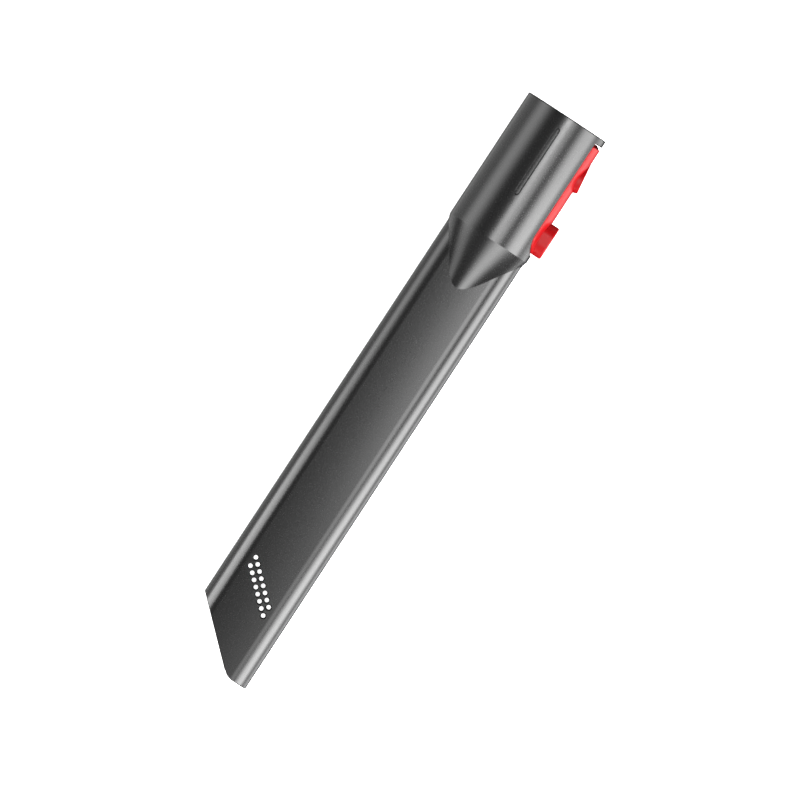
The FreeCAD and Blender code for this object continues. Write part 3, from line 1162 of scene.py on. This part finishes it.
    def build_cone(self) -> None:
        """Make the shoulder and cone down to the crease where the flat tube leaves them."""
        reach = self.cone_reach(np.hypot(self.ring[:, 0], self.ring[:, 1]))
        points, normals = [], []
        for share in np.linspace(0, 1, self.cone_rows) ** self.cone_crowding:
            x = self.collar_length + (reach - self.collar_length) * share
            radius, slope = self.cone(x)
            points.append(around(self.angles, x, radius))
            normals.append(around(self.angles, np.sin(slope), np.cos(slope)))
        self.skin.grid(points, normals, closed=True)
        self.extrude([reach + (self.plain_start - reach) * share for share in (0, 0.5, 1)], 0.0)

    def build_cone_inside(self) -> None:
        """Make the hollow of the cone, down to the duct."""
        ring, _ = self.face(self.wall)
        angles = np.unwrap(np.arctan2(ring[:, 0], ring[:, 1]))
        slope = math.radians(self.cone_slope)
        drop = self.wall / math.cos(slope)
        shoulder = self.collar_length + self.shoulder_radius * (
            math.sin(slope) - math.sin(math.radians(self.crease_slope)))
        stations = np.array([self.collar_length, shoulder, self.plain_start])
        radii = np.array([self.collar_radius - self.wall, *(self.cone(stations[1:])[0] - drop)])
        reach = np.interp(-np.hypot(ring[:, 0], ring[:, 1]), -radii, stations)
        points = []
        for share in np.linspace(0, 1, self.hollow_rows):
            x = self.collar_length + (reach - self.collar_length) * share
            points.append(around(angles, x, np.interp(x, stations, radii)))
        normals = -around(angles, math.sin(slope), math.cos(slope))
        self.skin.grid(points, [normals] * len(points), closed=True)
        self.extrude([reach, np.full(len(ring), self.plain_start)], self.wall)

    def extrude(self, rows: Sequence[np.ndarray], inset: float) -> None:
        """Run the tube's section along its axis.

        Args:
            rows: the place along the axis of each column, row by row.
            inset: 0 for the outside, or the wall for the duct.
        """
        ring, normals = self.face(inset)
        self.skin.grid([np.column_stack([row, ring]) for row in rows], [normals] * len(rows), closed=True)

    # The tip

    def cut(self, across: np.ndarray) -> tuple[np.ndarray, np.ndarray]:
        """Find where the slanted cut ends the tube.

        Args:
            across: places across the tube.

        Returns:
            The place along the axis at each, and the cut's normal there.
        """
        slope = math.radians(self.cut_slope)
        turn = math.pi / 2 - slope
        reach = self.nose_corner * math.tan(turn / 2)
        middle = self.nose_start + reach
        line = self.length - (self.nose_start - across) * math.tan(slope)
        bow = self.length - self.nose_corner + np.sqrt(
            np.maximum(self.nose_corner ** 2 - (across - middle) ** 2, 0.0))
        start = self.nose_start - reach * math.cos(slope)
        x = np.where(across < start, line, np.where(across < middle, bow, self.length))
        lean = np.where(across < start, -math.sin(slope),
                        np.where(across < middle, (across - middle) / self.nose_corner, 0.0))
        normals = np.column_stack([np.sqrt(1 - lean ** 2), lean, np.zeros(len(across))])
        return x, normals

    def edge_rows(self, inset: float, radius: float, steps: int) -> tuple[np.ndarray, np.ndarray]:
        """Rows of points and normals that round the edge between the tube's face and the cut.

        Args:
            inset: 0 for the outside edge, or the wall for the inside one.
            radius: the edge's rounding.
            steps: how many strips the rounding has.

        Returns:
            The points and the normals, from the tube's face to the cut.
        """
        ring, face = self.face(inset)
        x, ahead = self.cut(ring[:, 0])
        corner = np.column_stack([x, ring])
        dot = (face * ahead).sum(1)
        centre = corner - radius * (face + ahead) / (1 + dot)[:, None]
        angle = np.arccos(np.clip(dot, -1, 1))
        points, normals = [], []
        for share in np.linspace(0, 1, steps + 1):
            normal = (np.sin((1 - share) * angle)[:, None] * face + np.sin(share * angle)[:, None] * ahead)
            normal /= np.linalg.norm(normal, axis=1, keepdims=True)
            points.append(centre + radius * normal)
            normals.append(normal)
        return np.array(points), np.array(normals)

    def build_tip(self) -> None:
        """Make the slanted open end, with its edges rounded."""
        outer_strips, inner_strips, cut_strips = self.tip_strips
        outer, outer_normals = self.edge_rows(0.0, self.tip_edge, outer_strips)
        inner, inner_normals = self.edge_rows(self.wall, self.tip_inner_edge, inner_strips)
        self.skin.grid(outer, outer_normals, closed=True)
        self.skin.grid(inner, inner_normals, closed=True)
        rows, normals = [], []
        for share in np.linspace(0, 1, cut_strips + 1):
            row = outer[-1] + (inner[-1] - outer[-1]) * share
            x, ahead = self.cut(row[:, 1])
            rows.append(np.column_stack([x, row[:, 1:]]))
            normals.append(ahead)
        self.skin.grid(rows, normals, closed=True)
        self.build_tube(outer[0], 0.0)
        self.build_tube(inner[0], self.wall)

    def build_tube(self, ending: np.ndarray, inset: float) -> None:
        """Make one face of the tube, with the bleed holes through its flats.

        Args:
            ending: the points where the face meets the tip's edge.
            inset: 0 for the outside, or the wall for the duct.
        """
        ring, normals = self.face(inset)
        places = np.linspace(self.plain_start, self.holes_start, self.tube_rows)
        self.extrude([np.full(len(ring), x) for x in places], inset)
        shares = np.linspace(0, 1, self.tip_rows)
        for columns in (self.latch_side, self.far_side):
            start = np.column_stack([np.full(len(columns), self.holes_start), ring[columns]])
            self.skin.grid([start + (ending[columns] - start) * share for share in shares],
                           [normals[columns]] * len(shares))
        for columns, facing in ((self.top, Facing.TOP), (self.bottom[::-1], Facing.BOTTOM)):
            first = np.column_stack([np.full(len(columns), self.holes_start), ring[columns][:, 0]])
            last = ending[columns][:, :2]
            near = first[0] + (last[0] - first[0]) * shares[1:-1, None]
            away = first[-1] + (last[-1] - first[-1]) * shares[1:-1, None]
            outline = np.vstack([first, away, last[::-1], near[::-1]])
            self.build_flat(facing, outline, inset)

    def build_flat(self, facing: Facing, outline: np.ndarray, inset: float) -> None:
        """Make the end of one flat around the bleed holes, and their edges and walls.

        Args:
            facing: which flat it is.
            outline: the area's outline in plan.
            inset: 0 for the outside, or the wall for the duct.
        """
        face = Sheet(facing, self.section.flat_height(inset), from_below=bool(inset))
        radius = self.near_hole_radius if facing is Facing.TOP else self.far_hole_radius
        holes = [circle(x, y, radius) for x, y in self.hole_places()]
        if inset:
            face.panel(self.skin, outline, [loop for loop, _ in holes], self.flat_step)
            return
        rims = [loop + self.hole_edge * outward for loop, outward in holes]
        face.panel(self.skin, outline, rims, self.flat_step)
        for loop, outward in holes:
            top = face.rounded_edge(self.skin, loop, outward, self.hole_edge, raised=False, steps=self.hole_strips)
            bottom = Sheet(facing, self.section.flat_height(self.wall)).lifted(loop)
            wall(self.skin, top, bottom, -face.outward(outward))

    def hole_places(self) -> list[tuple[float, float]]:
        """Find where the bleed holes are.

        Returns:
            Their middles in plan.
        """
        return [(self.hole_first[0] + row * self.hole_row_shift + number * self.hole_step[0],
                 self.hole_first[1] + number * self.hole_step[1])
                for row in range(self.hole_rows) for number in range(self.holes_per_row)]

    def build(self, finish: SparkErodedAbs) -> bpy.types.Object:
        """Make the whole body.

        Args:
            finish: the moulding's finish.

        Returns:
            The piece, on its body and in place of its CAD node.
        """
        self.build_rim()
        self.build_collar()
        self.build_socket()
        self.build_stop()
        self.build_housing()
        self.build_cone()
        self.build_cone_inside()
        self.build_tip()
        piece = self.skin.made("grey_body", finish.make())
        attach(piece, "tool")
        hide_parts("tool_body")
        return piece


# ------------------------------------------------------------ the red latch


@dataclass
class RedLatch:
    """The one red moulding: curved plate, wedge, thumb pad, hook, hinge bar and lip."""

    plate_radius: float = AXES.collar_radius
    plate_inner_radius: float = 17.65
    start: float = 3.45
    # The end at the rim slants: its outer edge stands this much further back than its foot.
    front_lean: float = 1.3
    end: float = 57.95
    half_width: float = 10.55
    start_corner: float = 0.8
    end_corner: float = 8.5
    plate_edge: float = 0.3
    wedge_start: float = 11.1
    wedge_crest: float = 25.45
    wedge_foot: float = 26.15
    wedge_height: float = 1.9
    wedge_shoulder: float = 17.5
    wedge_half_width: float = 6.9
    wedge_front_half_width: float = 1.2
    # The rounding of the wedge's front corners, shoulders and rear corners in plan.
    wedge_corners: tuple[float, float, float] = (0.8, 8.0, 4.5)
    wedge_edge: float = 0.3
    pad_start: float = 42.2
    pad_height: float = 4.0
    pad_half_width: float = 6.6
    pad_corner: float = 5.9
    pad_edge: float = 0.8
    dish_depth: float = 0.6
    dish_reach: float = 5.2
    hinge: tuple[float, float] = (37.0, 13.44)
    hinge_radius: float = 1.4
    trunnion_radius: float = 1.15
    trunnion_end: float = 11.95
    rib_thickness: float = 1.8
    # Where the hook starts, where its ramp ends and where it ends itself.
    hook: tuple[float, float, float] = (4.6, 6.8, 8.4)
    hook_tip: float = 15.8
    hook_root: float = 17.3
    hook_half_width: float = 6.0
    boss_start: float = 44.875
    boss_radius: float = 16.4
    boss_half_width: float = 5.3
    boss_corner: float = 0.5
    lip_radius: float = 17.63
    lip_start: float = 56.5
    lip_end: float = 60.0
    # The cup's wall shifts along the tool as the latch turns, so it is wide enough to stay clear of the coil.
    cup_radius: float = 3.36
    cup_roof: float = 20.2
    # How far the walls of the wedge and the pad run into the plate.
    bite: float = 0.05
    # The spacing of the points inside panels, in millimetres, and the numbers of columns and strips.
    plate_step: float = 1.5
    wedge_step: float = 1.2
    pad_step: float = 0.9
    rod_step: float = 1.0
    hidden_step: float = 2.0
    dish_columns: int = 48
    rod_columns: int = 32
    rib_columns: int = 21
    pad_strips: int = 5
    skin: Skin = field(default_factory=Skin)

    def build_plate(self) -> None:
        """Make the curved plate, with its rounded edges and its leaning front."""
        face = Sheet(Facing.LATCH, cylinder(self.plate_radius))
        loops = []
        for start in (self.start + self.front_lean, self.start):
            corners = [(start, -self.half_width), (self.end, -self.half_width),
                       (self.end, self.half_width), (start, self.half_width)]
            radii = (self.start_corner, self.end_corner, self.end_corner, self.start_corner)
            loops.append(rounded_loop(corners, radii, sides=(30, 6, 30, 12), turns=(6, 16, 16, 6)))
        (loop, outward), (lower, _) = loops
        wedge, _ = self.shield(self.wedge_crest)
        pad, _ = self.oval()
        face.panel(self.skin, loop - self.plate_edge * outward, [wedge, pad], self.plate_step)
        top = face.rounded_edge(self.skin, loop, outward, self.plate_edge, raised=True)
        below = Sheet(Facing.LATCH, cylinder(self.plate_inner_radius), from_below=True)
        wall(self.skin, top, below.lifted(lower), face.outward(outward))
        cup, _ = circle(SPRING_PLACE, 0, self.cup_radius)
        below.panel(self.skin, lower, [cup], self.hidden_step)

    def shield(self, rear: float) -> tuple[np.ndarray, np.ndarray]:
        """Find the wedge's outline in plan.

        Args:
            rear: the place of its rear edge.

        Returns:
            The outline and its outward normals.
        """
        tip, half = self.wedge_front_half_width, self.wedge_half_width
        front, shoulder, back = self.wedge_corners
        corners = [(self.wedge_start, tip), (self.wedge_start, -tip), (self.wedge_shoulder, -half), (rear, -half),
                   (rear, half), (self.wedge_shoulder, half)]
        return rounded_loop(corners, (front, front, shoulder, back, back, shoulder), sides=(3, 6, 4, 6, 4, 6),
                            turns=(5, 5, 8, 10, 10, 8))

    def ramp(self, plan: np.ndarray) -> np.ndarray:
        """The height of the wedge's top over the plan."""
        rise = self.wedge_height / (self.wedge_crest - self.wedge_start)
        return self.plate_radius + (plan[:, 0] - self.wedge_start) * rise

    def build_wedge(self) -> None:
        """Make the raised wedge, ramped towards the mouth."""
        face = Sheet(Facing.LATCH, self.ramp)
        loop, outward = self.shield(self.wedge_crest)
        face.panel(self.skin, loop - self.wedge_edge * outward, (), self.wedge_step)
        top = face.rounded_edge(self.skin, loop, outward, self.wedge_edge, raised=True)
        foot, _ = self.shield(self.wedge_foot)
        bottom = Sheet(Facing.LATCH, cylinder(self.plate_radius)).lifted(foot, self.bite)
        wall(self.skin, top, bottom, face.outward(outward))

    def oval(self) -> tuple[np.ndarray, np.ndarray]:
        """Draw the thumb pad's outline.

        Returns:
            The outline's points in plan, and its outward normals.
        """
        corners = [(self.pad_start, -self.pad_half_width), (self.end, -self.pad_half_width),
                   (self.end, self.pad_half_width), (self.pad_start, self.pad_half_width)]
        return rounded_loop(corners, (self.pad_corner,) * 4, sides=(4, 3, 4, 3), turns=(12,) * 4)

    def dished(self, plan: np.ndarray) -> np.ndarray:
        """Find the height of the thumb pad's top, with a round dish in its middle.

        Args:
            plan: rows of plan points.

        Returns:
            The height over each.
        """
        radius = (self.dish_reach ** 2 + self.dish_depth ** 2) / (2 * self.dish_depth)
        away = np.minimum(np.hypot(plan[:, 0] - SPRING_PLACE, plan[:, 1]), self.dish_reach)
        return self.plate_radius + self.pad_height - self.dish_depth + radius - np.sqrt(radius ** 2 - away ** 2)

    def build_pad(self) -> None:
        """Make the raised oval pad for the thumb."""
        face = Sheet(Facing.LATCH, self.dished)
        loop, outward = self.oval()
        dish, _ = circle(SPRING_PLACE, 0, self.dish_reach, self.dish_columns)
        face.panel(self.skin, loop - self.pad_edge * outward, [dish], self.pad_step)
        face.panel(self.skin, dish, (), self.pad_step)
        top = face.rounded_edge(self.skin, loop, outward, self.pad_edge, raised=True, steps=self.pad_strips)
        bottom = Sheet(Facing.LATCH, cylinder(self.plate_radius)).lifted(loop, self.bite)
        wall(self.skin, top, bottom, face.outward(outward))

    def build_rod(self, radius: float, half_length: float) -> None:
        """Make a round bar on the hinge's line.

        Args:
            radius: the bar's radius.
            half_length: how far it reaches to each side.
        """
        loop, outward = circle(*self.hinge, radius, self.rod_columns)
        ends = (-half_length, half_length)
        rows = [np.column_stack([loop, np.full(len(loop), z)]) for z in ends]
        wall(self.skin, *rows, np.column_stack([outward, np.zeros(len(loop))]))
        for z in ends:
            Sheet(Facing.TOP, level(z), from_below=z < 0).panel(self.skin, loop, (), self.rod_step)

    def build_block(self, outline: Sequence[tuple[float, float]], half_width: float) -> None:
        """Make a short prism across the tool.

        Args:
            outline: its outline seen from the flat side, anticlockwise.
            half_width: how far it reaches to each side.
        """
        corners = np.array(outline, float)
        for z in (-half_width, half_width):
            Sheet(Facing.TOP, level(z), from_below=z < 0).panel(self.skin, corners, (), self.hidden_step)
        for start, end in zip(corners, np.roll(corners, -1, axis=0)):
            run = (end - start) / np.linalg.norm(end - start)
            side = [[(*start, z), (*end, z)] for z in (-half_width, half_width)]
            self.skin.grid(side, np.tile([run[1], -run[0], 0.0], (2, 2, 1)))

    def build_underside(self) -> None:
        """Make what the plate carries below: hinge bar, hook, boss, spring cup and lip."""
        self.build_rod(self.hinge_radius, self.half_width)
        self.build_rod(self.trunnion_radius, self.trunnion_end)
        x, y = self.hinge
        across = np.linspace(-self.half_width, self.half_width, self.rib_columns)
        above = Sheet(Facing.LATCH, cylinder(self.plate_inner_radius))
        foot = Sheet(Facing.LATCH, level(y))
        for side in (1.0, -1.0):
            edge = np.column_stack([np.full(len(across), x + side * self.rib_thickness / 2), side * across])
            wall(self.skin, above.lifted(edge), foot.lifted(edge), np.tile([side, 0.0, 0.0], (len(edge), 1)),
                 closed=False)
        start, ramp_end, end = self.hook
        root = self.plate_inner_radius
        self.build_block([(start, self.hook_root), (ramp_end, self.hook_tip), (end, self.hook_tip), (end, root),
                          (start, root)], self.hook_half_width)
        self.build_boss()

    def build_boss(self) -> None:
        """Make the thickened middle below the thumb with the spring's cup, and the lip behind it."""
        half = self.boss_half_width
        loop, outward = rounded_loop([(self.boss_start, -half), (self.lip_end, -half), (self.lip_end, half),
                                      (self.boss_start, half)], (self.boss_corner,) * 4, sides=(6,) * 4,
                                     turns=(4,) * 4)
        cup, cup_outward = circle(SPRING_PLACE, 0, self.cup_radius)
        below = Sheet(Facing.LATCH, cylinder(self.boss_radius), from_below=True)
        below.panel(self.skin, loop, [cup], self.plate_step)
        above = Sheet(Facing.LATCH, cylinder(self.lip_radius))
        lip = [[self.lip_start, -half], [self.lip_end, -half], [self.lip_end, half], [self.lip_start, half]]
        above.panel(self.skin, np.array(lip), (), self.plate_step)
        wall(self.skin, above.lifted(loop), below.lifted(loop), below.outward(outward))
        roof = Sheet(Facing.LATCH, level(self.cup_roof), from_below=True)
        roof.panel(self.skin, cup, (), self.plate_step)
        wall(self.skin, roof.lifted(cup), below.lifted(cup), -below.outward(cup_outward))

    def build(self, finish: PolishedRedAbs) -> bpy.types.Object:
        """Make the whole latch.

        Args:
            finish: the moulding's finish.

        Returns:
            The piece, on its body and in place of its CAD node.
        """
        self.build_plate()
        self.build_wedge()
        self.build_pad()
        self.build_underside()
        piece = self.skin.made("red_latch", finish.make())
        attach(piece, "latch")
        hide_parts("release_latch")
        return piece


@dataclass
class ReturnSpring:
    """The compression spring under the thumb pad, with its end turns closed and ground flat."""

    floor: float = Window.floor
    roof: float = RedLatch.cup_roof
    coil_radius: float = 2.55
    wire_radius: float = 0.25
    turns: float = 6.5
    closed_turns: float = 0.9
    steps_per_turn: int = 36
    wire_steps: int = 12
    # At full press the cup's roof comes down by 1.1 mm over the coil's middle and by this at its outer side.
    travel: float = 1.4

    def build(self, finish: DrawnSpringSteel) -> bpy.types.Object:
        """Make the spring.

        Args:
            finish: the wire's finish.

        Returns:
            The piece, on its body.
        """
        count = int(self.turns * self.steps_per_turn)
        turn = np.linspace(0, self.turns, count + 1)
        low, high = self.floor + self.wire_radius, self.roof - self.wire_radius
        closing = self.closed_turns * 2 * self.wire_radius
        height = np.interp(turn, [0, self.closed_turns, self.turns - self.closed_turns, self.turns],
                           [low, low + closing, high - closing, high])
        angle = 2 * math.pi * turn
        outward = np.stack([np.cos(angle), np.zeros_like(angle), np.sin(angle)], 1)
        line = outward * self.coil_radius + np.stack([np.full_like(angle, SPRING_PLACE), height, 0 * angle], 1)
        rows, normals = [], []
        for around in np.arange(self.wire_steps) * 2 * math.pi / self.wire_steps:
            facing = math.cos(around) * outward + math.sin(around) * np.array([0.0, 1.0, 0.0])
            spot = line + self.wire_radius * facing
            spot[:, 1] = np.clip(spot[:, 1], self.floor, self.roof)
            rows.append(spot)
            normals.append(facing)
        skin = Skin()
        points, facing = np.array(rows).transpose(1, 0, 2), np.array(normals).transpose(1, 0, 2)
        skin.grid(points, facing, closed=True)
        for end, way in ((0, -1.0), (-1, 1.0)):
            ahead = way * np.array([-math.sin(angle[end]), 0.0, math.cos(angle[end])])
            fan = [(0, k, k + 1) for k in range(1, self.wire_steps - 1)]
            skin.add(points[end], np.tile(ahead, (self.wire_steps, 1)), np.array(fan))
        piece = skin.made("return_spring", finish.make())
        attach(piece, "tool")
        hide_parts("latch_spring")
        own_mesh(piece)
        return piece


# ------------------------------------------------------------------- studio


@dataclass(frozen=True)
class Softbox:
    """One long soft panel beside the tool.

    Its turn is the angle around the tool's axis, in degrees from straight above towards the latch. It
    is evenly bright over its half width each way, and fades out beyond that.
    """

    turn: float
    half_width: float
    brightness: float
    fade: float = 15.0

    def corners(self) -> tuple[float, float, float, float]:
        """The angles where its light starts, is full, starts to fade and ends."""
        return (self.turn - self.half_width - self.fade, self.turn - self.half_width,
                self.turn + self.half_width, self.turn + self.half_width + self.fade)

    def light(self, turn: float) -> float:
        """Its brightness at an angle around the tool."""
        return float(np.interp(turn, self.corners(), (0.0, self.brightness, self.brightness, 0.0)))


@dataclass(frozen=True)
class LightTent:
    """The dark tent around the tool, with softboxes along its sides and others past the tip.

    Its near end is as dim as the given share of the sides.
    """

    sides: tuple[Softbox, ...]
    far_end: tuple[Softbox, ...]
    near_end: float = 0.12
    # How far a direction leans towards the tip where the far end's light starts and where it is full.
    blend: tuple[float, float] = (0.12, 0.42)
    # The same towards the mouth, where the sides start to dim and where they are as dim as the near end.
    near_blend: tuple[float, float] = (0.06, 0.26)

    def add_panels(self, tree: bpy.types.NodeTree, angle: bpy.types.NodeSocket,
                   panels: Sequence[Softbox], name: str) -> bpy.types.NodeSocket:
        """Add one ring of softboxes.

        Args:
            tree: the world's node tree.
            angle: the direction's angle around the tool, as a share of a full turn.
            panels: the ring's softboxes.
            name: the ring's name.

        Returns:
            The brightness, as a share of the brightest softbox.
        """
        turns = sorted({turn for panel in panels for turn in panel.corners()})
        ring = add_node(tree, "ShaderNodeValToRGB", {"Fac": angle}, name=name)
        steps = ring.color_ramp.elements
        while len(steps) < len(turns):
            steps.new(0.5)
        for step, turn in zip(steps, turns):
            step.position = (turn + 180) / 360
            light = sum(panel.light(turn) for panel in panels) / self.brightest
            step.color = (light, light, light, 1.0)
        return ring.outputs["Color"]

    @property
    def brightest(self) -> float:
        """The brightness of the brightest softbox."""
        return max(panel.brightness for panel in (*self.sides, *self.far_end))

    def build(self) -> None:
        """Put the tent up."""
        world = bpy.data.worlds.new("light_tent")
        bpy.context.scene.world = world
        world.use_nodes = True
        tree = world.node_tree
        tree.nodes.clear()
        direction = add_node(tree, "ShaderNodeTexCoord").outputs["Generated"]
        along, across, above = (
            add_node(tree, "ShaderNodeVectorMath", {0: direction}, {1: axis}, operation="DOT_PRODUCT").outputs["Value"]
            for axis in AXES.turned(np.eye(3)).tolist())
        angle = add_node(tree, "ShaderNodeMath", {0: across, 1: above}, operation="ARCTAN2").outputs[0]
        share = add_range(tree, angle, (-math.pi, math.pi))
        tent = add_node(tree, "ShaderNodeMix",
                        {"Factor": add_range(tree, along, self.blend, smooth=True),
                         6: self.add_panels(tree, share, self.sides, "sides"),
                         7: self.add_panels(tree, share, self.far_end, "far_end")}, data_type="RGBA")
        strength = add_range(tree, along, (-self.near_blend[1], -self.near_blend[0]),
                             (self.brightest * self.near_end, self.brightest), smooth=True)
        glow = add_node(tree, "ShaderNodeBackground", {"Color": tent.outputs[2], "Strength": strength})
        add_node(tree, "ShaderNodeOutputWorld", {"Surface": glow.outputs["Background"]})


@dataclass(frozen=True)
class Lamp:
    """One soft lamp in the tent, hung over a place along the tool and aimed at its axis.

    Its turn is the angle around the axis, in degrees from straight above towards the latch.
    """

    turn: float
    place: float
    brightness: float
    length: float = 0.16
    width: float = 0.14
    reach: float = 0.6

    def hang(self) -> None:
        """Hang the lamp."""
        turn = math.radians(self.turn)
        back, along = np.array([0.0, math.sin(turn), math.cos(turn)]), np.array([1.0, 0.0, 0.0])
        light = bpy.data.lights.new("lamp", "AREA")
        light.shape, light.size, light.size_y = "RECTANGLE", self.length, self.width
        # The power grows with the face's area, so the brightness holds for a lamp of any size.
        light.energy = self.brightness * math.pi ** 2 * self.length * self.width
        lamp = new_object("lamp", light)
        spot = AXES.laid(np.array([[self.place, 0.0, 0.0] + back * self.reach * 1000]))[0]
        axes = AXES.turned(np.array([along, np.cross(back, along), back]))
        lamp.matrix_world = posed(spot, axes)
        lamp.visible_camera = False


@dataclass
class Studio:
    """A plain pale floor, the light tent and the camera of the photograph."""

    floor_colour: str = "#F4F4F4"
    floor_glow: float = 1.0
    floor_roughness: float = 0.9
    floor_reach: float = 30.0
    floor_drop: float = 0.0002
    camera_distance: float = 15.0
    frame_width_mm: float = 344.5
    # The middle of the picture, in the tool's axes and millimetres, and the way that its right side points.
    aim: tuple[float, float, float] = (141.49, 6.47, 0.0)
    right: tuple[float, float] = (-0.5482, 0.8363)
    sensor_mm: float = 36.0
    clip: tuple[float, float] = (0.1, 100.0)

    def place_camera(self) -> None:
        """Put the camera square over the flat side, as in the photograph."""
        lens = bpy.data.cameras.new("camera")
        lens.sensor_width = self.sensor_mm
        lens.lens = self.sensor_mm * self.camera_distance * 1000 / self.frame_width_mm
        lens.clip_start, lens.clip_end = self.clip
        camera = new_object("camera", lens)
        right, back = np.array([*self.right, 0.0]), np.array([0.0, 0.0, 1.0])
        turn = AXES.turned(np.array([right, np.cross(back, right), back]))
        spot = AXES.laid(np.array([self.aim]))[0] + turn[2] * self.camera_distance
        camera.matrix_world = posed(spot, turn)
        bpy.context.scene.camera = camera

    def lay_floor(self) -> None:
        """Lay the pale glowing floor of a light table, which doesn't mirror in the tool."""
        material, tree = new_material("pale_light_table")
        add_surface(tree, {}, {"Base Color": linear(self.floor_colour), "Roughness": self.floor_roughness,
                               "Emission Color": (1, 1, 1, 1), "Emission Strength": self.floor_glow})
        mesh = bpy.data.meshes.new("floor")
        reach = self.floor_reach
        corners = [(-reach, -reach), (reach, -reach), (reach, reach), (-reach, reach)]
        mesh.from_pydata([(x, y, -self.floor_drop) for x, y in corners], [], [(0, 1, 2, 3)])
        mesh.materials.append(material)
        floor = new_object("floor", mesh)
        floor.visible_glossy = floor.visible_shadow = False

    def build(self, tent: LightTent, lamps: Sequence[Lamp]) -> None:
        """Set up the floor, the tent and its lamps.

        Args:
            tent: the light tent.
            lamps: the lamps that hang in it.
        """
        self.lay_floor()
        tent.build()
        for lamp in lamps:
            lamp.hang()
        bpy.context.scene.view_settings.view_transform = "Standard"


# Each softbox makes one long highlight: the outermost left edges, the left round edges, the top of the
# collar beside its line, the right round edges and the outermost right. Past the tip, they light the cone.
TENT = LightTent(
    sides=(Softbox(-125, 25, 0.8), Softbox(-68, 6, 4.0, fade=22.0), Softbox(20, 5, 3.5), Softbox(75, 15, 8.25),
           Softbox(125, 10, 3.0)),
    far_end=(Softbox(-140, 15, 1.0), Softbox(-70, 8, 2.5), Softbox(40, 8, 8.5, fade=30.0)))

# Over the collar, over the tube's middle and its right edge, and on both sides of the tip.
LAMPS = (Lamp(10, -60, 5.0), Lamp(17, 100, 1.6, width=0.3), Lamp(75, 100, 1.25, width=0.3),
         Lamp(-60, 260, 2.25, width=0.5), Lamp(62, 260, 2.1, width=0.5))


def main() -> None:
    """Build the camera, the pieces and the studio in order, and report each."""
    logging.basicConfig(level=logging.INFO, format="%(message)s")
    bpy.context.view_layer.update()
    studio = Studio()
    studio.place_camera()
    for piece in (GreyBody().build(SparkErodedAbs()), RedLatch().build(PolishedRedAbs()),
                  ReturnSpring().build(DrawnSpringSteel())):
        log.info("%s: %d faces", piece.name, len(piece.data.polygons))
    studio.build(TENT, LAMPS)


if __name__ == "__main__":
    main()
